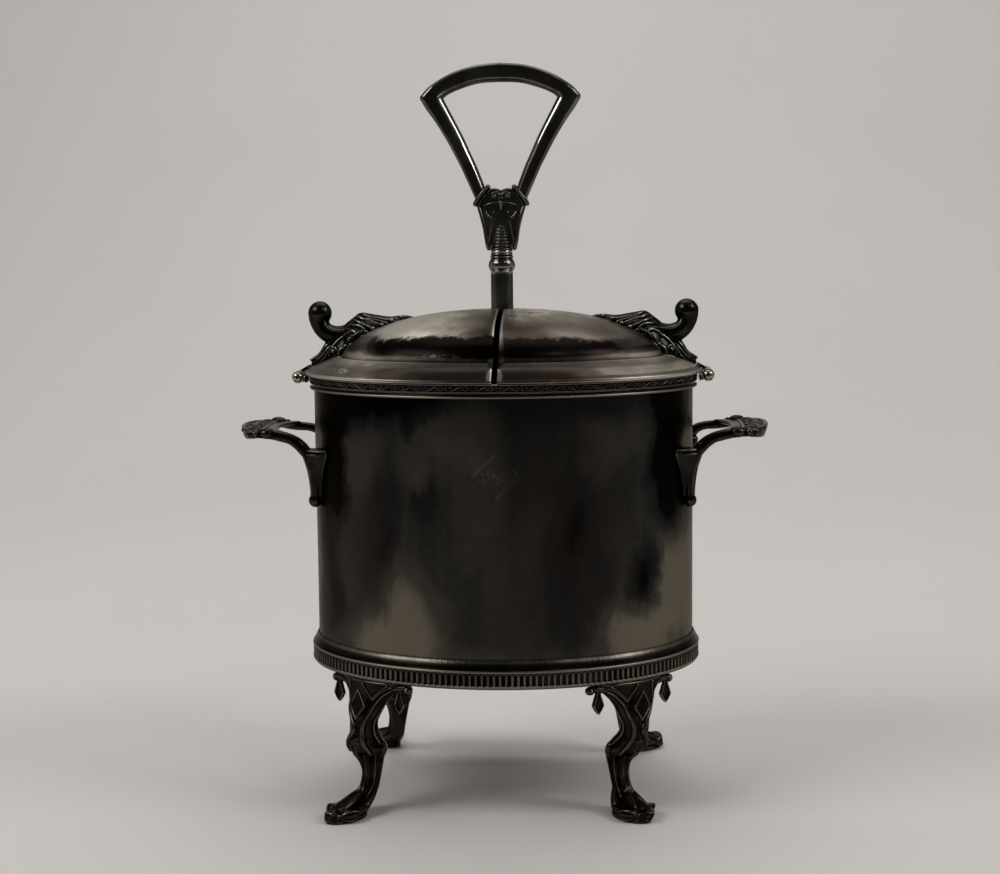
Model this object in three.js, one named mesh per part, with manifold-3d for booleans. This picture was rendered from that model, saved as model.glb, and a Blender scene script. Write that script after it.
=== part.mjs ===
// Oval egg coddler in silver plate: a straight-sided vessel on four cast legs,
// a domed lid in two hinged halves, and a lift-out egg rack whose stem rises
// through the lid to a fan-shaped loop handle.
// Millimetres, +Z up. X runs along the long axis of the oval, the front faces -Y.
// The origin is on the ground, under the middle of the oval.
import * as THREE from 'three';
import { mergeVertices } from 'three/addons/utils/BufferGeometryUtils.js';
import Module from 'manifold-3d';

const wasm = await Module();
wasm.setup();

// ---- driving dimensions ----
const A = 80.35;            // vessel, half length outside
const B = 61.9;             // vessel, half width outside
const WALL = 1.2;           // sheet thickness
const GAP = 0.3;            // clearance between touching pieces
const SEG = 48;             // facets round the oval
const WALL_BOTTOM = 56.6;
const WALL_TOP = 178.0;
const FLOOR_Z = 58.0;       // underside of the soldered floor
const MOULD_BOTTOM = 56.2;
const MOULD_TOP = 68.0;
const LEG_TOP = 55.9;
const LEG_X = 54.0;         // where each leg meets the oval
const LEG_Y = 45.9;
const LID_EDGE = 3.5;       // overhang of the lid past the vessel
const LID_Z = 178.3;        // underside of the closed lid
const DOME_A = 68.0;        // foot of the dome
const DOME_B = 51.0;
const DOME_FOOT_Z = 185.4;
const DOME_RISE = 19.8;
const LID_T = 1.2;
const SLIT = 1.2;           // half width of the slit between the lid halves
const LID_HOLE_R = 6.4;
const HINGE_X = 86.3;
const HINGE_Z = 177.1;
const BARREL_R = 2.6;
const BARREL_BORE = 1.3;
const PIN_R = 1.0;
const STEM_R = 4.7;
const ROD_R = 3.0;          // lower, thinner end of the stem
const STEM_TOP = 220.6;
const EGG_PLATE_Z = 100.0;
const LOW_PLATE_Z = 68.0;
const EGG_HOLE_R = 18.5;
const EGG_SEATS = [[0, 30], [0, -30], [45, 20], [-45, 20], [45, -20], [-45, -20]];
const POSTS = [[22.5, 25], [-22.5, 25], [22.5, -25], [-22.5, -25]];
const HANDLE_Y = 22.0;      // side handle arms, either side of the middle

// ---- finishes ----
const finish = (color, roughness) => new THREE.MeshStandardMaterial({ color, roughness, metalness: 1.0 });
const bodySilver = () => finish(0x3a3733, 0.32);
const lidSilver = () => finish(0x6b635b, 0.34);
const castSilver = () => finish(0x2a2826, 0.28);
const innerSilver = () => finish(0x8b867c, 0.38);

// ---- geometry helpers ----
function closed(positions, indices) {
  let volume = 0;
  for (let i = 0; i < indices.length; i += 3) {
    const a = indices[i] * 3, b = indices[i + 1] * 3, c = indices[i + 2] * 3;
    volume += positions[a] * (positions[b + 1] * positions[c + 2] - positions[b + 2] * positions[c + 1])
      - positions[a + 1] * (positions[b] * positions[c + 2] - positions[b + 2] * positions[c])
      + positions[a + 2] * (positions[b] * positions[c + 1] - positions[b + 1] * positions[c]);
  }
  if (volume < 0) {
    for (let i = 0; i < indices.length; i += 3) {
      const t = indices[i + 1];
      indices[i + 1] = indices[i + 2];
      indices[i + 2] = t;
    }
  }
  const g = new THREE.BufferGeometry();
  g.setAttribute('position', new THREE.Float32BufferAttribute(positions, 3));
  g.setIndex(indices);
  g.computeVertexNormals();
  return g;
}

// rings of points joined side to side; round = true joins the last ring to the first
function skin(rings, round) {
  const n = rings[0].length;
  const pos = [];
  const idx = [];
  for (const ring of rings) for (const p of ring) pos.push(p[0], p[1], p[2]);
  const rows = round ? rings.length : rings.length - 1;
  for (let i = 0; i < rows; i++) {
    const j = (i + 1) % rings.length;
    for (let k = 0; k < n; k++) {
      const l = (k + 1) % n;
      idx.push(i * n + k, i * n + l, j * n + l, i * n + k, j * n + l, j * n + k);
    }
  }
  if (!round) {
    for (const end of [0, rings.length - 1]) {
      const c = [0, 0, 0];
      for (const p of rings[end]) for (let q = 0; q < 3; q++) c[q] += p[q] / n;
      const ci = pos.length / 3;
      pos.push(c[0], c[1], c[2]);
      for (let k = 0; k < n; k++) {
        const l = (k + 1) % n;
        if (end === 0) idx.push(ci, end * n + l, end * n + k);
        else idx.push(ci, end * n + k, end * n + l);
      }
    }
  }
  return closed(pos, idx);
}

// a closed profile of [offset from the vessel side, height] carried round the oval
function ovalRing(profile, seg = SEG) {
  const rings = [];
  for (let i = 0; i < seg; i++) {
    const t = (i / seg) * Math.PI * 2;
    rings.push(profile.map(([o, z]) => [(A + o) * Math.cos(t), (B + o) * Math.sin(t), z]));
  }
  return skin(rings, true);
}

function ovalPlate(a, b, z, thick, holes) {
  const round = (x, y, p, q, n) => Array.from({ length: n }, (_, i) => {
    const t = (i / n) * Math.PI * 2;
    return new THREE.Vector2(x + p * Math.cos(t), y + q * Math.sin(t));
  });
  const shape = new THREE.Shape(round(0, 0, a, b, SEG));
  for (const [x, y, r] of holes) {
    shape.holes.push(new THREE.Path(round(x, y, r, r, r > 10 ? 20 : 8).reverse()));
  }
  const g = new THREE.ExtrudeGeometry(shape, { depth: thick, bevelEnabled: false });
  g.translate(0, 0, z);
  return g;
}

function turned(profile, seg = 24) {
  const g = new THREE.LatheGeometry(profile.map(([r, z]) => new THREE.Vector2(r, z)), seg);
  g.rotateX(Math.PI / 2);
  return g;
}

function solid(geometry) {
  let g = geometry.clone();
  g.deleteAttribute('normal');
  if (g.attributes.uv) g.deleteAttribute('uv');
  g = mergeVertices(g, 1e-4);
  const idx = Array.from(g.index.array);
  const p = g.attributes.position.array;
  const keep = [];
  let volume = 0;
  for (let i = 0; i < idx.length; i += 3) {
    const [a, b, c] = [idx[i], idx[i + 1], idx[i + 2]];
    if (a === b || b === c || a === c) continue;
    keep.push(a, b, c);
    const q = (k, m) => p[k * 3 + m];
    volume += q(a, 0) * (q(b, 1) * q(c, 2) - q(b, 2) * q(c, 1))
      - q(a, 1) * (q(b, 0) * q(c, 2) - q(b, 2) * q(c, 0))
      + q(a, 2) * (q(b, 0) * q(c, 1) - q(b, 1) * q(c, 0));
  }
  if (volume < 0) for (let i = 0; i < keep.length; i += 3) [keep[i + 1], keep[i + 2]] = [keep[i + 2], keep[i + 1]];
  return new wasm.Manifold(new wasm.Mesh({ numProp: 3, vertProperties: new Float32Array(p), triVerts: new Uint32Array(keep) }));
}

function unsolid(m) {
  const mesh = m.getMesh();
  return closed(Array.from(mesh.vertProperties), Array.from(mesh.triVerts));
}

function joined(geometries) {
  let m = solid(geometries[0]);
  for (const g of geometries.slice(1)) m = m.add(solid(g));
  return m;
}

const boxGeometry = (x0, x1, y0, y1, z0, z1) => {
  const g = new THREE.BoxGeometry(x1 - x0, y1 - y0, z1 - z0);
  g.translate((x0 + x1) / 2, (y0 + y1) / 2, (z0 + z1) / 2);
  return g;
};

const alongY = (r, y0, y1, x, z, seg = 16) => {
  const g = new THREE.CylinderGeometry(r, r, y1 - y0, seg);
  g.translate(x, (y0 + y1) / 2, z);
  return g;
};

const ball = (r, x, y, z, sx = 1, sy = 1, sz = 1) => {
  const g = new THREE.SphereGeometry(r, 9, 6);
  g.scale(sx, sy, sz);
  g.translate(x, y, z);
  return g;
};

// a section of half sizes [w across, h up] swept along points, w lying along the given side vector
function bar(points, side, corners = 6) {
  const rings = points.map((p, i) => {
    const a = points[Math.max(0, i - 1)], b = points[Math.min(points.length - 1, i + 1)];
    const t = new THREE.Vector3(b[0] - a[0], b[1] - a[1], b[2] - a[2]).normalize();
    const s = new THREE.Vector3(...side);
    s.addScaledVector(t, -s.dot(t)).normalize();
    const u = new THREE.Vector3().crossVectors(t, s);
    const ring = [];
    for (let k = 0; k < corners; k++) {
      const f = ((k + 0.5) / corners) * Math.PI * 2;
      const c = Math.cos(f) / Math.cos(Math.PI / corners), d = Math.sin(f) / Math.cos(Math.PI / corners);
      ring.push([
        p[0] + s.x * c * p[3] + u.x * d * p[4],
        p[1] + s.y * c * p[3] + u.y * d * p[4],
        p[2] + s.z * c * p[3] + u.z * d * p[4],
      ]);
    }
    return ring;
  });
  return skin(rings, false);
}

const group = new THREE.Group();
function piece(name, geometry, material) {
  const mesh = new THREE.Mesh(geometry, material);
  mesh.name = name;
  group.add(mesh);
  return mesh;
}

// ---- vessel ----
piece('body_wall', ovalRing([[0, WALL_BOTTOM], [0, WALL_TOP], [-WALL, WALL_TOP], [-WALL, WALL_BOTTOM]]), bodySilver());
piece('vessel_floor', ovalPlate(A - WALL - GAP, B - WALL - GAP, FLOOR_Z, WALL, []), innerSilver());
piece('rim_bead', ovalRing([[GAP, 172.2], [1.5, 172.2], [1.9, 172.8], [1.9, 173.9], [1.5, 174.5], [GAP, 174.5]]), bodySilver());
piece('rim_band', ovalRing([[GAP, 174.8], [1.5, 174.8], [2.1, 177.0], [2.1, WALL_TOP], [GAP, WALL_TOP]]), castSilver());
piece('base_moulding', ovalRing([[GAP, MOULD_BOTTOM], [1.9, MOULD_BOTTOM], [2.5, 57.4], [2.5, 62.7], [2.7, 63.3], [2.2, 64.1], [1.7, 66.2], [0.8, 67.7], [GAP, MOULD_TOP]]), castSilver());

// ---- legs ----
// height, middle of the section outward, half depth outward, middle along the oval, half width along the oval
const LEG_LEVELS = [
  [LEG_TOP, -2.2, 4.3, 0, 18.0],
  [51.0, -1.7, 4.0, 0.4, 12.2],
  [47.0, -1.1, 4.1, 0.9, 9.8],
  [43.0, -0.2, 4.5, 1.2, 8.3],
  [38.8, 0.3, 4.9, 1.5, 6.6],
  [34.6, -0.2, 5.9, 1.6, 6.3],
  [30.5, -1.6, 7.4, 1.3, 7.2],
  [26.4, -3.6, 8.0, 0.7, 7.5],
  [22.3, -5.0, 6.0, 0.1, 5.2],
  [18.2, -5.4, 4.9, 0, 4.1],
  [14.1, -4.7, 4.7, 0, 3.6],
  [10.0, -2.9, 5.2, 0, 3.7],
  [7.5, 0.0, 7.4, 0.2, 5.0],
  [5.5, 3.4, 9.3, 0.3, 6.5],
  [3.6, 6.2, 10.2, 0.2, 7.3],
  [1.8, 7.3, 10.4, 0, 6.7],
  [0.0, 7.4, 10.4, 0, 6.7],
];
// the legs are bent a little out of true: each paw is off its place by x, y, and the shift fades out upwards
const LEG_LEAN = [[0, 1], [1.8, 1], [5.5, 0.8], [10, 0.53], [22.3, 0.55], [26.4, 0.43], [30.5, 0.34], [34.6, 0.17], [43, 0.08], [47, 0], [60, 0]];
const PAW_SHIFT = { front_left: [-4.7, -1.5], front_right: [-4.7, 3.0], back_left: [-2.3, 3.9], back_right: [2.7, 1.0] };
const LEG_N = new THREE.Vector2(LEG_X / (A * A), LEG_Y / (B * B)).normalize();
const LEG_CURVE = 77.0;     // radius of the oval where the legs meet it

function lean(z) {
  let i = 0;
  while (i < LEG_LEAN.length - 2 && LEG_LEAN[i + 1][0] < z) i++;
  const [z0, w0] = LEG_LEAN[i], [z1, w1] = LEG_LEAN[i + 1];
  return w0 + (w1 - w0) * Math.min(1, Math.max(0, (z - z0) / (z1 - z0)));
}

function legGeometry(sx, sy, shift) {
  const at = (r, s, z) => {
    const x = LEG_X + LEG_N.x * r + LEG_N.y * s;
    const y = LEG_Y + LEG_N.y * r - LEG_N.x * s;
    const w = lean(z);
    return [x * sx + shift[0] * w, y * sy + shift[1] * w, z];
  };
  const rings = LEG_LEVELS.map(([z, rc, hr, sc, hs]) => {
    const ring = [];
    for (let k = 0; k < 12; k++) {
      const f = (k / 12) * Math.PI * 2;
      const c = Math.cos(f), d = Math.sin(f);
      const s = sc + hs * d;
      ring.push(at(rc + hr * c - (s * s) / (2 * LEG_CURVE), s, z));
    }
    return ring;
  });
  let m = solid(skin(rings, false));
  for (const [knobS, dropS] of [[20.2, 18.3], [-19.0, -15.7]]) {
    // the bracket ends in a scrolled knob, with a pendant drop just inside it
    const sag = (s) => -(s * s) / (2 * LEG_CURVE) - 0.6;
    const [kx, ky] = at(sag(knobS), knobS, 53.6);
    m = m.add(solid(ball(2.1, kx, ky, 53.6)));
    const neck = [13.5, 15.5, 17.5, Math.abs(knobS)].map((s) => s * Math.sign(knobS)).map((s) => [...at(sag(s), s, 54.1), 1.5, 1.5]);
    m = m.add(solid(bar(neck, [0, 0, 1])));
    const drop = turned([[0, 43.6], [1.3, 44.8], [3.0, 47.4], [2.2, 50.2], [0.9, 52.8], [0, 54.0]], 8);
    const [dx, dy] = at(sag(dropS), dropS, 53.6);
    drop.translate(dx, dy, 0);
    m = m.add(solid(drop));
  }
  const trim = boxGeometry(-120, 120, -120, 120, LEG_TOP, LEG_TOP + 20);
  return unsolid(m.subtract(solid(trim)));
}
piece('leg_front_left', legGeometry(-1, -1, PAW_SHIFT.front_left), castSilver());
piece('leg_front_right', legGeometry(1, -1, PAW_SHIFT.front_right), castSilver());
piece('leg_back_left', legGeometry(-1, 1, PAW_SHIFT.back_left), castSilver());
piece('leg_back_right', legGeometry(1, 1, PAW_SHIFT.back_right), castSilver());

// ---- side handles ----
// one casting each: two bowed arms rooted on the vessel, tied by a grip plate
function handleGeometry(sx) {
  const surface = (y) => A * Math.sqrt(1 - (y * y) / (B * B));
  const parts = [];
  for (const sy of [-1, 1]) {
    const y = HANDLE_Y;
    // the back arm keeps its height nearer to the vessel than the front one
    const rise = sy > 0 ? [0, 0, 0.2, 1.0, 2.1, 3.2, 2.6, 1.0, 0, 0, 0] : [0, 0, 0, 0, 0, 0, 0, 0, 0, 0, 0];
    const arm = [
      [112.2 - 7.0, 17.5, 155.0, 2.6, 1.9],
      [99.0, 20.0, 155.0, 2.5, 2.1],
      [93.5, 21.2, 154.0, 2.4, 2.3],
      [89.0, 21.9, 152.4, 2.4, 2.4],
      [85.2, 22.2, 150.2, 2.5, 2.5],
      [81.9, 22.2, 147.2, 2.8, 2.5],
      [79.4, 22.2, 143.2, 3.1, 2.4],
      [78.2, 22.0, 138.5, 2.9, 2.1],
      [77.9, 21.4, 133.0, 2.3, 1.9],
      [77.9, 20.8, 128.6, 1.8, 1.8],
      [78.0, 20.5, 125.2, 1.7, 1.7],
    ].map(([px, py, pz, w, h], i) => [px, py, pz + rise[i], w, h]).map(([px, py, pz, w, h]) => [px * sx, py * sy, pz, w, h]);
    parts.push(bar(arm, [0, 1, 0]));
    parts.push(ball(2.8, 78.5 * sx, 20.4 * sy, 126.0));
    // the root spreads into a plate on the vessel side
    const root = [
      [75.4, 24.0, 149.0, 5.6, 4.2],
      [75.6, 23.4, 145.0, 4.8, 4.2],
      [76.0, 21.8, 139.0, 3.6, 4.0],
      [76.6, 20.6, 133.0, 2.6, 3.4],
    ].map(([px, py, pz, w, h]) => [px * sx, py * sy, pz, w, h]);
    parts.push(bar(root, [-0.31 * sx * sy, 1, 0]));
  }
  const grip = new THREE.Shape();
  grip.moveTo(90.4, -22.0);
  grip.lineTo(104.0, -24.0);
  grip.quadraticCurveTo(113.6, -15.0, 112.3, 0);
  grip.quadraticCurveTo(113.6, 15.0, 104.0, 24.0);
  grip.lineTo(90.4, 22.0);
  grip.quadraticCurveTo(96.2, 12.0, 96.4, 0);
  grip.quadraticCurveTo(96.2, -12.0, 90.4, -22.0);
  const plate = new THREE.ExtrudeGeometry(grip, { depth: 3.0, bevelEnabled: false, curveSegments: 8 });
  plate.translate(0, 0, 153.6);
  if (sx < 0) plate.rotateZ(Math.PI);
  parts.push(plate);
  // deeper lip along the outer edge of the grip
  const lipRows = [[106.0, -20, 154.2, 1.3, 1.9], [109.4, -13.5, 153.9, 1.3, 2.4], [110.8, -7, 153.75, 1.3, 2.8], [110.95, 0, 153.7, 1.3, 2.95], [110.8, 7, 153.75, 1.3, 2.8], [109.4, 13.5, 153.9, 1.3, 2.4], [106.0, 20, 154.2, 1.3, 1.9]];
  parts.push(bar(lipRows.map(([px, py, pz, w, h]) => [px * sx, py, pz, w, h]), [1, 0, 0]));
  let m = joined(parts);
  // seat it against the vessel side
  const core = ovalRing([[GAP, 100], [GAP, 170], [-60, 170], [-60, 100]], SEG);
  m = m.subtract(solid(core));
  return unsolid(m);
}
piece('side_handle_left', handleGeometry(-1), castSilver());
piece('side_handle_right', handleGeometry(1), castSilver());

// ---- lid halves ----
const domeHeight = (x, y, a, b, foot, rise) => foot + rise * Math.sqrt(Math.max(0, 1 - (x * x) / (a * a) - (y * y) / (b * b)));

// the outer surface of the whole lid, raised by lift; the same skin serves the shell and its fittings
function lidRings(lift, hole) {
  const seg = 44;
  const rings = [];
  const add = (a, b, z) => {
    const ring = [];
    for (let i = 0; i < seg; i++) {
      const t = (i / seg) * Math.PI * 2;
      const x = a * Math.cos(t), y = b * Math.sin(t);
      ring.push([x, y, typeof z === 'function' ? z(x, y) : z]);
    }
    rings.push(ring);
  };
  add(A + LID_EDGE, B + LID_EDGE, 179.3 + lift);
  add(A + LID_EDGE - 0.6, B + LID_EDGE - 0.6, 180.3 + lift);
  add(A - 2.6, B - 1.8, 182.9 + lift);
  add(A - 8.0, B - 6.6, 185.1 + lift);
  add(DOME_A + 1.2, DOME_B + 1.2, 186.0 + lift);
  for (const f of [0.998, 0.975, 0.92, 0.82, 0.66, 0.45, 0.24]) {
    add(DOME_A * f, DOME_B * f, (x, y) => domeHeight(x, y, DOME_A, DOME_B, DOME_FOOT_Z, DOME_RISE) + lift);
  }
  if (hole > 0) add(hole, hole, (x, y) => domeHeight(x, y, DOME_A, DOME_B, DOME_FOOT_Z, DOME_RISE) + lift);
  return rings;
}

function wholeLid() {
  const outer = lidRings(0, LID_HOLE_R);
  const inner = lidRings(-LID_T, LID_HOLE_R);
  // the inner skin starts at the underside of the edge
  const seg = outer[0].length;
  const lip = [];
  const lipIn = [];
  for (let i = 0; i < seg; i++) {
    const t = (i / seg) * Math.PI * 2;
    lip.push([(A + LID_EDGE - 0.3) * Math.cos(t), (B + LID_EDGE - 0.3) * Math.sin(t), LID_Z]);
    lipIn.push([(A - 2.4) * Math.cos(t), (B - 2.0) * Math.sin(t), LID_Z]);
  }
  const back = inner.slice(3).reverse();
  return solid(skin([lip, ...outer, ...back, lipIn], true));
}
const lid = wholeLid();
const far = 130;
const leftHalf = lid.subtract(solid(boxGeometry(-SLIT, far, -far, far, 150, 230)));
const rightHalf = lid.subtract(solid(boxGeometry(-far, SLIT, -far, far, 150, 230)));
piece('lid_left', unsolid(leftHalf), lidSilver());
piece('lid_right', unsolid(rightHalf), lidSilver());

// everything at or under the lid's outer skin, used to seat the fittings on it
function underLid() {
  const rings = lidRings(GAP, 0);
  const bottom = rings[0].map(([x, y]) => [x * 1.004, y * 1.004, 170.0]);
  const edge = rings[0].map(([x, y, z]) => [x * 1.004, y * 1.004, z]);
  return solid(skin([bottom, edge, ...rings.slice(1)], false));
}
const lidCore = underLid();

// ---- scroll thumb-pieces: a ridged leaf on the dome that rises to a curled knob ----
function scrollGeometry(sx) {
  // spine of the leaf: x, height of the ridge, half spread of its skirt
  const spine = [
    [-82.0, 184.4, 1.6], [-79.5, 186.2, 3.8], [-77.3, 188.4, 5.4], [-74.6, 192.2, 7.6], [-70.0, 196.4, 9.8],
    [-66.3, 199.5, 11.0], [-60.8, 203.8, 11.6], [-55.5, 203.5, 10.6], [-47.0, 202.6, 7.6], [-41.0, 202.5, 4.2], [-37.8, 202.1, 1.2],
  ];
  const leaf = skin(spine.map(([x, z, w]) => {
    const base = 172.0;
    return [[x, -w, base], [x, -w, z - w * 0.95 - 0.2], [x, -w * 0.45, z - w * 0.35], [x, 0, z], [x, w * 0.45, z - w * 0.35], [x, w, z - w * 0.95 - 0.2], [x, w, base]]
      .map((p) => [-p[0] * sx, p[1], p[2]]);
  }), false);
  const neck = bar([
    [-66.0, 0, 194.4, 3.6, 4.4], [-70.4, 0, 194.0, 3.8, 4.3], [-73.8, 0, 195.0, 3.9, 4.1], [-76.6, 0, 197.0, 4.0, 3.9],
    [-77.9, 0, 199.8, 4.2, 4.3], [-78.1, 0, 202.2, 4.4, 4.8], [-77.7, 0, 204.4, 4.4, 4.7],
  ].map(([x, y, z, w, h]) => [-x * sx, y, z, w, h]), [0, 1, 0], 10);
  const curl = ball(5.2, 77.7 * sx, 0, 203.7, 1.0, 1.0, 1.0);
  let m = joined([leaf, neck, curl]);
  m = m.subtract(lidCore);
  m = m.subtract(solid(sx > 0 ? boxGeometry(81.6, 90, -20, 20, 170, 190) : boxGeometry(-90, -81.6, -20, 20, 170, 190)));
  return unsolid(m);
}
piece('scroll_left', scrollGeometry(-1), castSilver());
piece('scroll_right', scrollGeometry(1), castSilver());

// ---- hinges ----
function bracketGeometry(sx) {
  const x0 = A + 2.5, xk = HINGE_X;
  const parts = [
    boxGeometry(x0, 83.35, -9.2, 9.2, 174.7, 177.9),
    boxGeometry(x0, 85.6, 3.1, 9.2, 175.0, 177.7),
    boxGeometry(x0, 85.6, -9.2, -3.1, 175.0, 177.7),
    alongY(BARREL_R, 3.1, 9.2, xk, HINGE_Z),
    alongY(BARREL_R, -9.2, -3.1, xk, HINGE_Z),
  ];
  let m = joined(parts);
  m = m.subtract(solid(alongY(BARREL_BORE, -20, 20, xk, HINGE_Z)));
  const g = unsolid(m);
  if (sx < 0) g.rotateZ(Math.PI);
  return g;
}
piece('hinge_bracket_left', bracketGeometry(-1), castSilver());
piece('hinge_bracket_right', bracketGeometry(1), castSilver());

function pinGeometry(sx) {
  const g = turned([[0, -11.3], [1.5, -10.9], [2.2, -10.2], [2.0, -9.5], [PIN_R, -9.5], [PIN_R, 9.5], [2.0, 9.5], [2.2, 10.2], [1.5, 10.9], [0, 11.3]], 12);
  g.rotateX(Math.PI / 2);
  g.translate(HINGE_X * sx, 0, HINGE_Z);
  return g;
}
piece('hinge_pin_left', pinGeometry(-1), castSilver());
piece('hinge_pin_right', pinGeometry(1), castSilver());

function knuckleGeometry(sx) {
  const tab = new THREE.Shape([
    [86.3, 178.7], [85.2, 178.3], [84.3, 178.4], [84.3, 179.6], [82.6, 179.9], [78.6, 181.0], [78.6, 183.8],
    [81.9, 182.2], [84.6, 180.9], [86.6, 179.5],
  ].map(([x, z]) => new THREE.Vector2(x, z)));
  const g = new THREE.ExtrudeGeometry(tab, { depth: 5.2, bevelEnabled: false });
  g.rotateX(Math.PI / 2);
  g.translate(0, 2.6, 0);
  let m = joined([alongY(BARREL_R, -2.7, 2.7, HINGE_X, HINGE_Z), g]);
  m = m.subtract(solid(alongY(BARREL_BORE, -20, 20, HINGE_X, HINGE_Z)));
  m = m.subtract(lidCore);
  const foot = boxGeometry(60, 81.9, -10, 10, 170, 200);
  m = m.subtract(solid(foot));
  const out = unsolid(m);
  if (sx < 0) out.rotateZ(Math.PI);
  return out;
}
piece('lid_knuckle_left', knuckleGeometry(-1), castSilver());
piece('lid_knuckle_right', knuckleGeometry(1), castSilver());

// ---- lift-out egg rack ----
piece('rack_stem', turned([
  [0, 61.5], [ROD_R, 61.5], [ROD_R, 101.8], [8.5, 101.8], [8.5, 103.0], [6.2, 104.2], [STEM_R, 105.4], [STEM_R, STEM_TOP], [0, STEM_TOP],
], 20), castSilver());
const postHoles = POSTS.map(([x, y]) => [x, y, 2.1]);
piece('egg_plate', ovalPlate(76.0, 57.5, EGG_PLATE_Z, 1.5, [[0, 0, ROD_R + GAP], ...postHoles, ...EGG_SEATS.map(([x, y]) => [x, y, EGG_HOLE_R])]), innerSilver());
piece('egg_rest_plate', ovalPlate(74.0, 55.5, LOW_PLATE_Z, 1.2, [[0, 0, ROD_R + GAP], ...postHoles, ...EGG_SEATS.map(([x, y]) => [x, y, 8.0])]), innerSilver());
POSTS.forEach(([x, y], i) => {
  const g = turned([
    [0, 59.5], [1.8, 59.5], [2.9, 61.0], [2.9, 63.4], [1.8, 64.8], [1.8, 66.2], [3.0, 66.2], [3.0, 67.7], [1.8, 67.7],
    [1.8, 98.4], [3.0, 98.4], [3.0, 99.7], [1.8, 99.7], [1.8, 101.8], [3.0, 101.8], [2.4, 103.2], [0, 103.8],
  ], 8);
  g.translate(x, y, 0);
  piece('rack_post_' + (i + 1), g, innerSilver());
});
const nut = new THREE.ExtrudeGeometry((() => {
  const s = new THREE.Shape();
  for (let k = 0; k < 6; k++) {
    const f = (k / 6) * Math.PI * 2;
    if (k === 0) s.moveTo(6.2 * Math.cos(f), 6.2 * Math.sin(f));
    else s.lineTo(6.2 * Math.cos(f), 6.2 * Math.sin(f));
  }
  s.closePath();
  const h = new THREE.Path();
  h.absarc(0, 0, ROD_R + GAP, 0, Math.PI * 2, true);
  s.holes.push(h);
  return s;
})(), { depth: 3.6, bevelEnabled: false, curveSegments: 10 });
nut.translate(0, 0, 62.6);
piece('stem_nut', nut, castSilver());
const washer = new THREE.ExtrudeGeometry((() => {
  const s = new THREE.Shape();
  s.absarc(0, 0, 8.0, 0, Math.PI * 2);
  const h = new THREE.Path();
  h.absarc(0, 0, ROD_R + GAP, 0, Math.PI * 2, true);
  s.holes.push(h);
  return s;
})(), { depth: 1.0, bevelEnabled: false, curveSegments: 12 });
washer.translate(0, 0, 66.6);
piece('stem_washer', washer, castSilver());

// ---- loop handle on the stem ----
piece('stem_knop', turned([
  [0, 220.9], [4.9, 220.9], [5.6, 222.2], [5.7, 223.8], [4.9, 226.0], [5.0, 226.9], [4.7, 227.6], [4.7, 229.3], [0, 229.3],
], 20), castSilver());

function crotchGeometry() {
  const half = [[5.3, 229.6], [6.7, 231.5], [6.9, 234.0], [7.5, 239.0], [8.9, 244.0], [10.6, 248.0], [12.6, 250.6], [12.4, 253.6], [8.0, 257.4], [5.4, 255.2]];
  const pts = [...half, ...half.slice().reverse().map(([x, z]) => [-x, z])];
  const shape = new THREE.Shape(pts.map(([x, z]) => new THREE.Vector2(x, z)));
  const core = new THREE.ExtrudeGeometry(shape, { depth: 8.4, bevelEnabled: false });
  core.rotateX(Math.PI / 2);
  core.translate(0, 4.2, 0);
  const cone = turned([[0, 229.6], [5.4, 229.6], [5.5, 231.0], [3.6, 246.0], [2.6, 249.0], [0, 249.6]], 20);
  return unsolid(joined([core, cone]));
}
piece('handle_crotch', crotchGeometry(), castSilver());

function loopGeometry() {
  // outline of the fan, from the middle of the arc outwards and down
  const outer = [[0, 307.4], [10.5, 306.4], [20.6, 303.4], [29.0, 298.4], [33.6, 293.8], [31.0, 288.4], [27.5, 283.5], [24.4, 278.6], [21.6, 273.7], [19.0, 268.7], [16.5, 263.8], [14.2, 258.8], [12.6, 255.2]];
  const foot = [[8.6, 258.4]];
  const inner = [[7.9, 260.4], [9.6, 263.8], [11.8, 268.7], [14.0, 273.7], [16.4, 278.6], [18.9, 283.5], [21.4, 288.4], [23.9, 293.0], [18.0, 296.2], [9.6, 298.9], [0, 299.5]];
  const shape = new THREE.Shape();
  // one arched strip: right outline down, back up the inside, then the mirrored inside and outside
  const strip = [...outer, ...foot, ...inner, ...inner.slice(0, -1).reverse().map(([x, z]) => [-x, z]), ...foot.map(([x, z]) => [-x, z]), ...outer.slice(1).reverse().map(([x, z]) => [-x, z])];
  strip.forEach(([x, z], i) => (i ? shape.lineTo(x, z) : shape.moveTo(x, z)));
  shape.closePath();
  const g = new THREE.ExtrudeGeometry(shape, { depth: 3.4, bevelEnabled: true, bevelThickness: 1.3, bevelSize: 1.0, bevelOffset: -1.0, bevelSegments: 1 });
  g.rotateX(Math.PI / 2);
  g.translate(0, 1.7, 0);
  return g;
}
piece('loop_handle', loopGeometry(), castSilver());

export default group;
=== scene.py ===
# Oval egg coddler in tarnished silver plate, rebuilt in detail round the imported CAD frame.
# Shape data below is in millimetres, in the same frame as the CAD part.
import math

import bpy
import numpy as np
from mathutils import Matrix, Vector


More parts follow.
